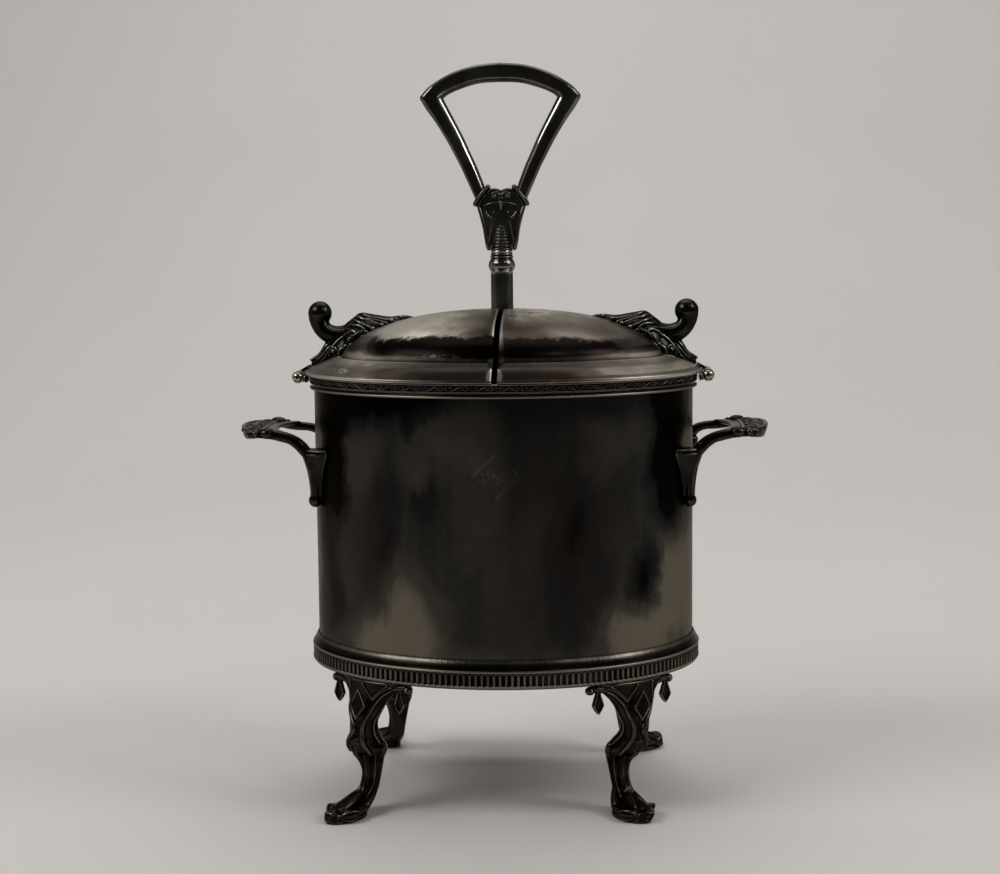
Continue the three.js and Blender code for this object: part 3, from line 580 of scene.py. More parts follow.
def cast_silver(name, shine=0.21, base=(0.0110, 0.0106, 0.0100), wear_amount=1.0, reach=0.0, tones=((0.085, 0.066, 0.051), (0.210, 0.155, 0.110), (0.420, 0.370, 0.300))):
    """Cast work: glossy black tarnish, with thin brown metal on the worn ridges."""
    m = Net(name)
    cloud = m.noise(m.obj, 75.0, 4, 0.6, 0.3)
    fine = m.noise(m.obj, 520.0, 4, 0.65)
    relief = m.attr("relief")
    ragged = m.add(relief, m.mul(m.sub(cloud, 0.52), 0.10))
    ragged = m.add(ragged, m.mul(m.sub(fine, 0.5), 0.05))
    colour = m.mix(m.step(cloud, 0.42, 0.72), base, tuple(1.9 * v for v in base))
    colour = m.mix(m.mul(m.step(ragged, 0.03 - reach, 0.12 - 0.7 * reach), 0.65 * wear_amount), colour, tones[0])
    colour = m.mix(m.mul(m.step(ragged, 0.10, 0.22), 0.80 * wear_amount), colour, tones[1])
    colour = m.mix(m.mul(m.step(m.add(relief, m.mul(m.sub(cloud, 0.5), 0.25)), 0.21, 0.36), 0.75 * wear_amount), colour, tones[2])
    # hollows nearly black: tarnish gathered there, with painted shade
    colour = m.mix(m.step(relief, -0.02, -0.12), colour, (0.0050, 0.0048, 0.0045))
    m.put(m.bsdf.inputs["Base Color"], colour)
    m.bsdf.inputs["Metallic"].default_value = 1.0
    m.bsdf.inputs["Specular Tint"].default_value = (0.56, 0.55, 0.53, 1.0)
    rough = m.add(shine, m.mul(m.sub(cloud, 0.5), 0.18))
    rough = m.add(rough, m.mul(m.sub(fine, 0.5), 0.10))
    rough = m.add(rough, m.step(relief, -0.01, -0.10, 0.0, 0.25))
    m.put(m.bsdf.inputs["Roughness"], m.math("MAXIMUM", m.math("MINIMUM", rough, 0.7), 0.14))
    m.bump([(m.noise(m.obj, 160.0, 3, 0.6), 0.0002, 0.30), (fine, 0.00006, 0.3)])
    return m.mat


BODY = sheet_silver("tarnish_and_sheen_body_silver", "body")
LID = sheet_silver("tarnish_and_sheen_lid_silver", "lid")
INNER = sheet_silver("dull_inner_silver", "inner")
TRIM = sheet_silver("moulded_silver", "trim")
GREY = ((0.110, 0.106, 0.095), (0.260, 0.250, 0.225), (0.460, 0.440, 0.400))
BAND = cast_silver("dark_band_silver", 0.28, base=(0.0080, 0.0077, 0.0072), wear_amount=0.85, tones=GREY)
CAST = cast_silver("cast_silver", 0.21, tones=((0.085, 0.067, 0.053), (0.195, 0.162, 0.128), (0.430, 0.390, 0.330)))
LEG = cast_silver("leg_silver", 0.20, base=(0.0120, 0.0108, 0.0098), reach=0.025, tones=((0.098, 0.070, 0.053), (0.215, 0.170, 0.132), (0.450, 0.405, 0.345)))
LEAF = cast_silver("leaf_silver", 0.20, base=(0.0125, 0.0123, 0.0110), wear_amount=0.95, tones=((0.085, 0.083, 0.070), (0.230, 0.222, 0.190), (0.480, 0.460, 0.400)))
# the brightest tone also paints the highlight along the inner bevel of the loop's arms
GLOSS = cast_silver("dark_handle_silver", 0.18, base=(0.088, 0.085, 0.072), wear_amount=1.0, tones=((0.130, 0.126, 0.112), (0.280, 0.270, 0.240), (0.600, 0.585, 0.540)))


# ------------------------------------------------------------------ vessel
def make_wall():
    n = 384 if FINE else 192
    t = np.linspace(0, 2 * math.pi, n, endpoint=False)
    zo = np.concatenate([[56.6, 57.0], np.linspace(60, 175, 60 if FINE else 30), [177.2, 177.7, 177.9]])
    zi = zo[::-1]
    # hand-made sheet: never quite true
    def dent(tt, zz):
        return 0.10 + 0.05 * np.sin(3 * tt + 0.7 + zz / 60) * np.sin(zz / 31 + 0.4) + 0.035 * np.sin(7 * tt - zz / 23 + 1.1) + 0.02 * np.sin(13 * tt + zz / 11)
    tt = t[:, None]
    fade = smoothstep(57, 70, zo) * smoothstep(178, 168, zo)
    oo = -dent(tt, zo) * fade
    oo[:, -1] = -0.12
    oi = -1.2 + 0.0 * tt + 0.0 * zi
    oi[:, 0] = -1.08
    o = np.hstack([oo, np.full((n, 1), -0.3), np.full((n, 1), -0.9), oi])
    z = np.concatenate([zo, [178.0, 178.0], zi])
    me = build("body_wall_v", [oval_ring(o, z, t)])
    place("vessel_wall", me, BODY, "vessel", ["body_wall"], sharp=50)


def make_floor():
    n = 192
    t = np.linspace(0, 2 * math.pi, n, endpoint=False)
    a, b = A - 1.5, B - 1.5
    rings = []
    for da, z in ((-0.4, 58.0), (0.0, 58.2), (0.0, 59.0), (-0.4, 59.2)):
        rings.append(np.stack([(a + da) * np.cos(t), (b + da) * np.sin(t), np.full(n, z)], 1))
    for f in (0.97, 0.9, 0.7, 0.45, 0.2, 0.02):
        dz = 0.12 * math.cos(f * 6)
        rings.append(np.stack([a * f * np.cos(t), b * f * np.sin(t), np.full(n, 59.05 + min(dz, 0.1))], 1))
    me = build("vessel_floor_v", [shell(arr(rings), False)])
    place("vessel_bottom", me, INNER, "vessel", ["vessel_floor"], sharp=50)


def make_mouldings():
    # rim bead: a fine upper bead over a fuller one
    n = 384
    t = np.linspace(0, 2 * math.pi, n, endpoint=False)
    prof = [(0.3, 172.2), (0.9, 172.2)]
    for k in np.linspace(-80, 80, 12):
        prof.append((1.2 + 0.62 * math.cos(math.radians(k)), 172.85 + 0.55 * math.sin(math.radians(k))))
    prof += [(1.1, 173.44), (0.95, 173.55), (0.9, 173.9), (0.95, 174.3), (1.05, 174.6), (0.9, 174.75), (0.3, 174.75)]
    p = arr(prof)
    me = build("rim_bead_v", [oval_ring(p[:, 0], p[:, 1], t)])
    place("rim_beading", me, TRIM, "vessel", ["rim_bead"], sharp=60)

    # fluted base moulding
    flutes = 190
    per = 12 if FINE else 8
    t, length = oval_t(A + 2.4, B + 2.4, flutes * per)
    pitch = length / flutes
    zf = np.linspace(57.35, 62.55, 22 if FINE else 12)
    rows = [(0.3, 56.2), (1.5, 56.2), (1.95, 56.35), (2.25, 56.7), (2.42, 57.1)]
    rows += [(2.48, z) for z in zf]
    rows += [(2.38, 62.75), (2.44, 62.95), (2.66, 63.1), (2.7, 63.35), (2.66, 63.65), (2.45, 63.85), (2.1, 63.95), (1.9, 64.15), (1.78, 64.6), (1.62, 65.2), (1.4, 65.8), (1.12, 66.4), (0.8, 67.0), (0.52, 67.5), (0.34, 67.85), (0.3, 68.0)]
    p = arr(rows)
    u = ((np.arange(len(t)) / per) % 1.0 - 0.5) * pitch
    du, zz = np.abs(u)[:, None], p[:, 1][None, :]
    half, zc, hh = 0.83, 60.0, 2.45
    q = np.maximum(np.abs(zz - zc) - (hh - half), 0)
    d = np.hypot(du, q) - half
    cut = 0.80 * smoothstep(0.10, -0.42, d) * (p[:, 0] > 2.3)[None, :]
    dot = 0.45 * np.clip(1 - (np.hypot(np.abs(np.abs(u) - pitch / 2)[:, None], zz - 57.45) / 0.62) ** 2, 0, 1) ** 0.5
    rib = 0.04 * smoothstep(0.3, 0.0, np.abs(np.abs(u) - pitch / 2))[:, None]
    o = p[:, 0][None, :] - cut + np.minimum(rib, 0.02)
    o = np.minimum(np.where((zz > 56.6) & (zz < 58.2) & (p[:, 0] > 2.2)[None, :], o - 0.18 + dot, o), 2.7)
    me = build("base_moulding_v", [oval_ring(o, p[:, 1], t)])
    place("foot_moulding", me, TRIM, "vessel", ["base_moulding"], sharp=70, rounds=5)

    # rim band: running scroll with a leaf in each turn
    repeats = 46
    per = 44 if FINE else 24
    t, length = oval_t(A + 1.8, B + 1.8, repeats * per)
    nz = 26 if FINE else 14
    zf = np.linspace(175.15, 177.55, nz)
    rows = [(0.3, 174.8), (1.2, 174.8), (1.72, 174.86), (1.8, 175.0), (1.6, 175.1)]
    rows += [(1.18 + 0.22 * (z - 175.15) / 2.4, z) for z in zf]
    rows += [(1.8, 177.62), (2.06, 177.72), (2.1, 177.86), (1.95, 178.0), (0.3, 178.0)]
    p = arr(rows)
    w = length / repeats
    u = ((np.arange(len(t)) / per) % 1.0)[:, None] * w
    v = (p[:, 1] - 176.35)[None, :]
    h = np.zeros((len(t), len(p)))

    def ridge(dist, width, high):
        return high * np.clip(1 - (dist / width) ** 2, 0, 1)

    wave = 0.92 * np.sin(2 * math.pi * u / w)
    slope = np.hypot(1, 0.92 * 2 * math.pi / w * np.cos(2 * math.pi * u / w))
    h = np.maximum(h, ridge(np.abs(v - wave) / slope, 0.34, 0.52))
    for cu, cv, sgn in ((0.25 * w, -0.15, 1), (0.75 * w, 0.15, -1)):
        for shift in (-w, 0, w):
            x0 = u - cu - shift
            # curl
            r = np.hypot(x0 * 0.85, v - cv * sgn * 0.0 - (-0.18 * sgn))
            ang = np.arctan2(v + 0.18 * sgn, x0 * sgn)
            target = 0.28 + 0.42 * (ang + math.pi) / (2 * math.pi)
            h = np.maximum(h, ridge(np.abs(r - target), 0.20, 0.42) * (r < 0.95))
            h = np.maximum(h, ridge(r, 0.24, 0.5))
            # leaf blade lying beside the stem
            lx, lv = x0 - 1.55 * sgn * 1.0, v - (-0.55 * sgn)
            ca, sa = math.cos(0.62 * sgn), math.sin(0.62 * sgn)
            a1, b1 = lx * ca + lv * sa, -lx * sa + lv * ca
            leaf = np.clip(1 - (a1 / 1.35) ** 2 - (b1 / 0.40) ** 2, 0, 1) ** 0.5
            h = np.maximum(h, 0.46 * leaf - ridge(np.abs(b1), 0.09, 0.16) * (leaf > 0))
    inside = (p[:, 1] > 175.12) & (p[:, 1] < 177.57) & (p[:, 0] < 1.6)
    o = np.minimum(p[:, 0][None, :] + h * inside[None, :], 2.06)
    me = build("rim_band_v", [oval_ring(o, p[:, 1], t)])
    place("scroll_band", me, BAND, "vessel", ["rim_band"], sharp=75, rounds=5)


# ------------------------------------------------------------------ lid halves
def dome(a, b, t):
    x, y = a * np.cos(t), b * np.sin(t)
    return DOME_Z + DOME_H * np.sqrt(np.maximum(0, 1 - (x / DOME_A) ** 2 - (y / DOME_B) ** 2))


def lid_height(x, y):
    """Outer skin of the lid, for seating the scrolls on it."""
    r = np.sqrt((x / DOME_A) ** 2 + (y / DOME_B) ** 2)
    on = DOME_Z + DOME_H * np.sqrt(np.clip(1 - r ** 2, 0, 1))
    k = np.sqrt((x / A) ** 2 + (y / B) ** 2)
    flange = np.interp(k, [0.862, 0.9, 0.968, 1.037, 1.05], [186.0, 185.1, 182.9, 180.3, 179.3])
    return np.where(r < 0.998, np.maximum(on, 185.6), flange)


def make_lid(side):
    nt = 300 if FINE else 150
    # edge lip, flange, groove, dome: [a, b, z] with z None on the dome
    edge = [(83.35, 64.9, 178.3), (83.72, 65.2, 178.42), (83.85, 65.31, 178.72), (83.85, 65.31, 179.12), (83.78, 65.26, 179.42), (83.6, 65.12, 179.62), (83.35, 64.92, 179.74)]
    flange = spline([(83.35, 64.92, 179.74), (82.2, 63.88, 180.5), (80.3, 62.2, 181.65), (77.75, 60.1, 182.9), (75.1, 57.7, 184.1), (72.35, 55.3, 185.0), (70.6, 53.6, 185.62)], 16)[1:]
    groove = [(69.9, 52.95, 185.72), (69.3, 52.35, 185.62), (68.75, 51.75, 185.15), (68.35, 51.35, 184.98), (68.05, 51.05, 185.1)]
    outer = [tuple(r) for r in edge] + [tuple(r) for r in flange] + groove
    ang = np.radians(np.concatenate([[1.5, 4, 7], np.linspace(10, 76, 34)]))
    domes = [(DOME_A * math.cos(k), DOME_B * math.cos(k)) for k in ang]
    a0, b0 = domes[-1]
    domes += [(a0 + (HOLE_R - a0) * f, b0 + (HOLE_R - b0) * f) for f in (0.25, 0.5, 0.72, 0.88, 0.96, 1.0)]

    def arc(a):
        t0 = math.acos(-SLIT / a)
        return np.linspace(t0, 2 * math.pi - t0, nt)

    rings = []
    for a, b, z in outer:
        t = arc(a)
        rings.append(np.stack([a * np.cos(t), b * np.sin(t), np.full(nt, z)], 1))
    for i, (a, b) in enumerate(domes):
        t = arc(a)
        z = dome(a, b, t)
        if i == len(domes) - 1:
            z = z - 0.15
        rings.append(np.stack([a * np.cos(t), b * np.sin(t), z], 1))
    # wall of the stem hole, then the inside skin back to the edge
    a, b = domes[-1]
    t = arc(a)
    rings.append(np.stack([a * np.cos(t), b * np.sin(t), dome(a, b, t) - 1.05], 1))
    for a, b in domes[:-1][::-1]:
        t = arc(a)
        rings.append(np.stack([(a - 0.2) * np.cos(t), (b - 0.2) * np.sin(t), np.maximum(dome(a, b, t) - 1.2, 184.3)], 1))
    for a, b, z in ((68.6, 51.6, 184.2), (72.35, 55.3, 183.9), (75.1, 57.7, 182.95), (77.2, 59.4, 181.4), (77.9, 59.9, 179.2), (78.1, 60.1, 178.45), (78.5, 60.5, 178.3)):
        t = arc(a)
        rings.append(np.stack([a * np.cos(t), b * np.sin(t), np.full(nt, z)], 1))
    rings = arr(rings)
    rings[:, 0, 0] = rings[:, -1, 0] = -SLIT
    nu = len(rings)
    v = rings.reshape(-1, 3)
    faces = [grid_faces(nu, nt, True, False)]
    # the two cut faces, each strung between the outer and the inner skin
    outer_n = len(outer) + len(domes)
    for col in (0, nt - 1):
        o = list(range(outer_n))
        i = list(range(nu - 1, outer_n - 1, -1))
        poly, k, l = [], 0, 0
        while k < len(o) - 1 or l < len(i) - 1:
            if l == len(i) - 1 or (k < len(o) - 1 and (k + 1) / len(o) <= (l + 1) / len(i)):
                poly.append((o[k], o[k + 1], i[l]))
                k += 1
            else:
                poly.append((o[k], i[l + 1], i[l]))
                l += 1
        tri = arr(poly).astype(int) * nt + col
        faces.append(tri if col else tri[:, ::-1])
    part = (v, outward(v, faces))
    if side > 0:
        part = mirrored(part, -1, 1)
    name = "left" if side < 0 else "right"
    me = build("lid_" + name + "_v", [part])
    bm_fix(me)
    place("lid_half_" + name, me, LID, name + "_lid", ["lid_" + name], sharp=48, rounds=6)


def bm_fix(me):
    """Makes the winding of the faces agree all over a closed shell."""
    import bmesh
    bm = bmesh.new()
    bm.from_mesh(me)
    bmesh.ops.recalc_face_normals(bm, faces=bm.faces[:])
    bm.to_mesh(me)
    bm.free()
    me.update()


# ------------------------------------------------------------------ scroll thumb-pieces
def make_scroll(side):
    # left-hand one, mirrored for the right: x negative outboard
    parts = []
    # leaf: a steep roof that narrows to its tip on the crown
    ridge = spline([(-81.8, 184.3, 1.4), (-79.5, 185.6, 3.2), (-77.4, 187.6, 4.8), (-75.4, 190.8, 6.4), (-72.6, 193.6, 7.8), (-69.4, 196.4, 9.2), (-66.4, 199.0, 10.2), (-63.2, 201.5, 10.9), (-60.3, 203.5, 11.1), (-57.6, 203.3, 10.8), (-53.0, 202.5, 9.9), (-48.0, 201.8, 8.6), (-43.6, 202.2, 6.0), (-40.4, 202.2, 3.4), (-38.1, 201.7, 1.0)], 400)
    xs = np.linspace(-81.8, -38.1, 110 if FINE else 60)
    zr = np.interp(xs, ridge[:, 0], ridge[:, 1])
    wr = np.interp(xs, ridge[:, 0], ridge[:, 2])
    q = np.linspace(0, 1, 30 if FINE else 16)

    def flank(x, qq, lift=0.0):
        """A point on the side of the leaf: qq runs from the ridge (0) to its edge on the lid (1)."""
        z = np.interp(x, ridge[:, 0], ridge[:, 1])
        w = np.interp(x, ridge[:, 0], ridge[:, 2])
        foot = np.minimum(lid_height(np.array(x), np.array(w)) - 0.5, z - 0.6)
        y = w * np.sin(qq * math.pi / 2) ** 1.1
        zz = z - (z - foot) * (1 - np.cos(qq * math.pi / 2) ** 1.1)
        return np.array([x, y + 0.6 * lift, zz + 0.8 * lift])

    rings = []
    for x, z, w in zip(xs, zr, wr):
        pts = arr([flank(x, k) for k in q])
        sink = 0.45 * smoothstep(0.03, 0.22, q) * smoothstep(1.0, 0.9, q)
        pts[:, 1] = np.maximum(pts[:, 1] - sink, 0)
        pts[:, 2] -= sink
        base = float(pts[:, 2].min()) - 1.6
        other = pts.copy()
        other[:, 1] *= -1
        rings.append(np.vstack([pts, [[x, pts[-1, 1], base]], [[x, -pts[-1, 1], base]], other[::-1][:-1]]))
    parts.append(shell(arr(rings), False))
    # thin ribs that fan out over the wing and end in little curls: (x, how far down the flank), thickness, curl
    ribs = (
        ([(-60.3, 0.05), (-58.4, 0.19), (-55.8, 0.29), (-52.2, 0.36), (-48.6, 0.46), (-46.6, 0.56)], 0.50, 0.85),
        ([(-61.6, 0.12), (-60.8, 0.26), (-59.1, 0.39), (-57.0, 0.45), (-54.6, 0.53), (-52.0, 0.68), (-50.4, 0.80)], 0.52, 0.90),
        ([(-63.0, 0.22), (-61.3, 0.42), (-59.6, 0.53), (-57.4, 0.63), (-55.4, 0.74), (-54.0, 0.87)], 0.52, 0.95),
        ([(-64.6, 0.30), (-62.8, 0.46), (-60.8, 0.57), (-58.6, 0.69), (-57.2, 0.82), (-56.8, 0.92)], 0.52, 0.85),
        ([(-66.4, 0.36), (-64.4, 0.50), (-62.2, 0.66), (-61.0, 0.80), (-60.6, 0.92)], 0.46, 0.70),
        ([(-56.6, 0.86), (-58.4, 0.83), (-60.4, 0.82), (-61.8, 0.85), (-62.4, 0.93)], 0.80, 0.75),
        ([(-61.5, 0.80), (-61.9, 0.71), (-62.9, 0.63), (-64.6, 0.57), (-66.6, 0.52), (-69.0, 0.53), (-71.0, 0.59), (-72.9, 0.67), (-74.3, 0.74)], 0.58, 0.0),
        ([(-65.0, 0.90), (-66.0, 0.82), (-67.0, 0.78), (-68.0, 0.81), (-68.8, 0.89)], 0.66, 0.0),
        ([(-69.4, 0.80), (-70.2, 0.70), (-71.4, 0.66), (-72.6, 0.72), (-73.0, 0.82)], 0.46, 0.0),
        ([(-73.8, 0.30), (-75.2, 0.36), (-77.2, 0.38), (-79.6, 0.42)], 0.42, 0.0),
        ([(-72.9, 0.50), (-74.3, 0.57), (-76.3, 0.62), (-78.6, 0.62)], 0.42, 0.0),
        ([(-74.6, 0.78), (-76.2, 0.84), (-78.0, 0.86)], 0.38, 0.0),
    )
    for sy in (-1, 1):
        for row, thick, curl in ribs:
            path = spline(row, 26)
            pts = arr([flank(a, min(max(b, 0.01), 1.0), -0.12) for a, b in path])
            pts[:, 1] *= sy
            t = np.linspace(0, 1, 26)
            wide = thick * np.interp(t, [0, 0.2, 0.8, 1], [0.55, 1.0, 1.1, 0.9])
            parts.append(tube(pts, wide, side=(0.5, 0.25 * sy, 0.8), sides=10))
            if curl:
                parts.append(blob(pts[-1] + arr([0.1, 0.30 * sy, 0.35]), (curl, curl * 0.9, curl * 0.85)))
        # soft swellings between the ribs
        for row, half in (
            ([(-57.6, 0.30), (-54.6, 0.42), (-51.2, 0.52), (-48.8, 0.64)], 1.05),
            ([(-59.4, 0.48), (-56.4, 0.56), (-53.4, 0.70), (-52.0, 0.84)], 1.0),
            ([(-60.6, 0.60), (-58.4, 0.72), (-56.6, 0.88)], 0.85),
            ([(-43.6, 0.30), (-46.2, 0.36), (-50.0, 0.30), (-54.0, 0.22)], 0.8),
        ):
            pts = arr([flank(a, b, -0.75) for a, b in spline(row, 20)])
            pts[:, 1] *= sy
            parts.append(tube(pts, np.stack([half * np.interp(np.linspace(0, 1, 20), [0, 0.4, 1], [0.6, 1.0, 0.8])] * 2, 1), side=(0.3, 0.4 * sy, 0.8), sides=14))
        # the two eyes
        for a, b, r in ((-63.8, 0.82, 1.05), (-71.3, 0.77, 0.95), (-42.6, 0.36, 0.7), (-41.0, 0.30, 0.55)):
            c = flank(a, b, 0.15)
            c[1] *= sy
            parts.append(blob(c, (r, r * 0.9, r * 0.9)))
        # edge line of the leaf along the lid
        edge = arr([flank(x, 0.985, 0.05) for x in np.linspace(-79.0, -40.0, 40)])
        edge[:, 1] *= sy
        parts.append(tube(edge, 0.5, side=(0, 0, 1), sides=8))
    # spine rib of the leaf, with a knuckle at the peak and the tip
    parts.append(tube(np.stack([ridge[::12, 0], 0 * ridge[::12, 0], ridge[::12, 1] - 0.35], 1), 0.72, side=(0, 1, 0), sides=12))
    parts.append(blob((-60.0, 0, 203.0), (1.6, 1.6, 0.85)))
    parts.append(blob((-41.3, 0, 201.9), (2.2, 1.5, 0.75)))
    parts.append(blob((-63.4, 0, 201.0), (0.9, 1.5, 0.7)))
    # neck and volute: one thick comma that curls into the knob
    neck = arr([(-62.5, 196.2, 3.2, 4.2), (-67.0, 194.4, 3.6, 4.3), (-71.0, 194.1, 3.8, 4.2), (-74.3, 195.2, 3.9, 4.0), (-76.7, 197.2, 4.0, 3.8), (-77.8, 199.7, 4.1, 4.1), (-78.0, 201.8, 4.3, 4.6), (-77.8, 203.8, 4.5, 4.8)])
    parts.append(tube(np.stack([neck[:, 0], 0 * neck[:, 0], neck[:, 1]], 1), neck[:, 2:], side=(0, 1, 0), sides=32, n=44))
    parts.append(blob((-77.7, 0, 203.75), (5.05, 5.0, 5.05), nu=36, nv=32))
    # ridge that follows the outer side of the curl
    for sy in (-1, 1):
        parts.append(tube([(-64.0, 4.4 * sy, 197.2), (-68.0, 3.9 * sy, 196.4), (-72.0, 3.9 * sy, 196.9), (-75.0, 3.6 * sy, 199.0), (-75.6, 3.4 * sy, 201.2)], [0.5, 0.7, 0.7, 0.6, 0.4], side=(0, 0, 1), sides=10, n=20))
    part = [p if side < 0 else mirrored(p, -1, 1) for p in parts]
    name = "left" if side < 0 else "right"

    def seat(p):
        p[:, 2] = np.maximum(p[:, 2], lid_height(p[:, 0], p[:, 1]) - 0.25)
        return p

    me = cast("scroll_" + name + "_v", part, 0.26 if FINE else 0.42, "scroll_" + name, 1, seat)
    place("leaf_scroll_" + name, me, LEAF, name + "_lid", ["scroll_" + name])


# ------------------------------------------------------------------ hinges
def barrel(y0, y1, r=2.6, bore=1.3, grooves=()):
    """Knuckle with eased ends, axis along Y."""
    prof = [(bore, y0 + 0.05), (r - 0.45, y0), (r - 0.1, y0 + 0.15), (r, y0 + 0.5)]
    for g in grooves:
        prof += [(r, g - 0.3), (r - 0.28, g), (r, g + 0.3)]
    prof += [(r, y1 - 0.5), (r - 0.1, y1 - 0.15), (r - 0.45, y1), (bore, y1 - 0.05)]
    p = turned(prof, 48, closed=True)
    return turn_xyz(p, lambda v: np.stack([v[:, 0] + HX, v[:, 2], v[:, 1] + HZ], 1))


def slab(outline, y0, y1, ease=0.3):
    """Outline in x, z carried along Y with eased edges."""
    o = arr(outline)
    c = o.mean(0)
    rings = []
    for y, k in ((y0, ease), (y0 + ease, 0), (y1 - ease, 0), (y1, ease)):
        d = o - c
        q = o - d / (np.linalg.norm(d, axis=1)[:, None] + 1e-9) * k
        rings.append(np.stack([q[:, 0], np.full(len(q), y), q[:, 1]], 1))
    return shell(arr(rings), False)


def make_hinge(side):
    name = "left" if side < 0 else "right"
    flip = (lambda p: mirrored(p, -1, 1)) if side < 0 else (lambda p: p)
    plate = slab([(82.86, 174.8), (83.3, 174.8), (83.34, 175.2), (83.34, 177.5), (83.3, 177.85), (82.86, 177.85)], -9.1, 9.1, 0.2)
    parts = [plate]
    for sy in (-1, 1):
        y0, y1 = sorted((3.1 * sy, 9.2 * sy))
        parts.append(barrel(y0, y1, grooves=(5.2 * sy, 7.2 * sy) if sy > 0 else (-7.2, -5.2)))
        parts.append(slab([(83.0, 175.1), (85.4, 175.1), (85.4, 177.5), (83.0, 177.5)], y0 + 0.1, y1 - 0.1, 0.3))
    me = build("hinge_bracket_" + name + "_v", [flip(p) for p in parts])
    place("hinge_leaf_" + name, me, LEAF, "vessel", ["hinge_bracket_" + name], sharp=40)
    prof = [(0.01, -11.3), (0.8, -11.22), (1.45, -10.95), (1.95, -10.55), (2.2, -10.1), (2.12, -9.75), (1.9, -9.55), (1.0, -9.5), (1.0, -4.0), (1.0, 4.0), (1.0, 9.5), (1.9, 9.55), (2.12, 9.75), (2.2, 10.1), (1.95, 10.55), (1.45, 10.95), (0.8, 11.22), (0.01, 11.3)]
    pin = turn_xyz(turned(prof, 40), lambda v: np.stack([v[:, 0] + HX, v[:, 2], v[:, 1] + HZ], 1))
    me = build("hinge_pin_" + name + "_v", [flip(pin)])
    place("pin_" + name, me, CAST, "vessel", ["hinge_pin_" + name], sharp=60)
    tab = [(86.2, 179.0), (85.4, 178.5), (84.4, 178.5), (84.33, 179.6), (83.6, 179.85), (82.6, 180.05), (81.95, 180.5), (82.0, 182.0), (82.9, 181.75), (84.3, 180.95), (85.6, 180.1), (86.4, 179.5)]
    me = build("lid_knuckle_" + name + "_v", [flip(barrel(-2.7, 2.7, grooves=(-1.0, 1.0))), flip(slab(tab, -2.55, 2.55, 0.2))])
    place("hinge_knuckle_" + name, me, LEAF, name + "_lid", ["lid_knuckle_" + name], sharp=40)


# ------------------------------------------------------------------ legs
# height, middle and half depth outward, middle and half width along the oval
LEG_LEVELS = arr([
    [55.9, -2.2, 4.3, 0, 18.0], [51.0, -1.7, 4.0, 0.4, 12.2], [47.0, -1.1, 4.1, 0.9, 9.8], [43.0, -0.2, 4.5, 1.2, 8.3], [38.8, 0.3, 4.9, 1.5, 6.6],
    [34.6, -0.2, 5.9, 1.6, 6.3], [30.5, -1.6, 7.4, 1.3, 7.2], [26.4, -3.6, 8.0, 0.7, 7.5], [22.3, -5.0, 6.0, 0.1, 5.2], [18.2, -5.4, 4.9, 0, 4.1],
    [14.1, -4.7, 4.7, 0, 3.6], [10.0, -2.9, 5.2, 0, 3.7], [7.5, 0.0, 7.4, 0.2, 5.0], [5.5, 3.4, 9.3, 0.3, 6.5], [3.6, 6.2, 10.2, 0.2, 7.3],
    [1.8, 7.3, 10.4, 0, 6.7], [0.0, 7.4, 10.4, 0, 6.7],
])
# the legs are bent a little out of true: how far each paw is off its place, and how that fades upwards
LEG_LEAN = arr([[0, 1], [1.8, 1], [5.5, 0.8], [10, 0.53], [22.3, 0.55], [26.4, 0.43], [30.5, 0.34], [34.6, 0.17], [43, 0.08], [47, 0], [60, 0]])
PAW_SHIFT = {"front_left": (-4.7, -1.5), "front_right": (-4.7, 3.0), "back_left": (-2.3, 3.9), "back_right": (2.7, 1.0)}
LEG_NX = LEG_X / A ** 2 / math.hypot(LEG_X / A ** 2, LEG_Y / B ** 2)
LEG_NY = LEG_Y / B ** 2 / math.hypot(LEG_X / A ** 2, LEG_Y / B ** 2)


def leg_table():
    k = LEG_LEVELS[::-1]
    return spline(k, 900)


LEG_SMOOTH = leg_table()


def leg_level(z):
    return [np.interp(z, LEG_SMOOTH[:, 0], LEG_SMOOTH[:, i]) for i in (1, 2, 3, 4)]


def leg_at(r, s, z):
    """Leg coordinates (outward, along the oval, height) to the part frame, for the back right leg."""
    r, s, z = np.broadcast_arrays(arr(r), arr(s), arr(z))
    return np.stack([LEG_X + LEG_NX * r + LEG_NY * s, LEG_Y + LEG_NY * r - LEG_NX * s, z], -1)


def leg_skin(f, z, lift=0.0):
    """A point on the leg at angle f round the section (0 faces outward) and height z."""
    rc, hr, sc, hs = leg_level(z)
    s = sc + (hs + lift) * np.sin(f)
    return leg_at(rc + (hr + lift) * np.cos(f) - s * s / (2 * LEG_CURVE), s, z)


def leg_twist(z):
    """The pattern of the bracket sits a little off the middle of the leg."""
    return np.interp(z, [0, 26, 29, 33, 36, 40, 45, 51, 56], [0, 0, 2, -6, -13, -3, 10, 16, 18])


def leg_groove(f, z):
    """How deep the leg is hollowed at f degrees, z: broad concave bands, fluted shin, sole line."""
    g = np.abs(f)
    h = 0.75 * np.exp(-((g - 88) / 26) ** 2) * smoothstep(27, 31, z) * smoothstep(52, 46, z)
    h = h + 0.55 * np.exp(-((g - 12) / 12) ** 2) * smoothstep(31, 33, z) * smoothstep(42, 39, z)
    h = h + 0.60 * np.exp(-((g - 42) / 11) ** 2) * smoothstep(8.5, 11, z) * smoothstep(27, 24, z)
    h = h + 0.35 * np.exp(-((g - 84) / 16) ** 2) * smoothstep(8, 11, z) * smoothstep(25, 22, z)
    h = h + 0.75 * smoothstep(1.2, 1.6, z) * smoothstep(2.9, 1.9, z) * smoothstep(150, 110, g)
    return h


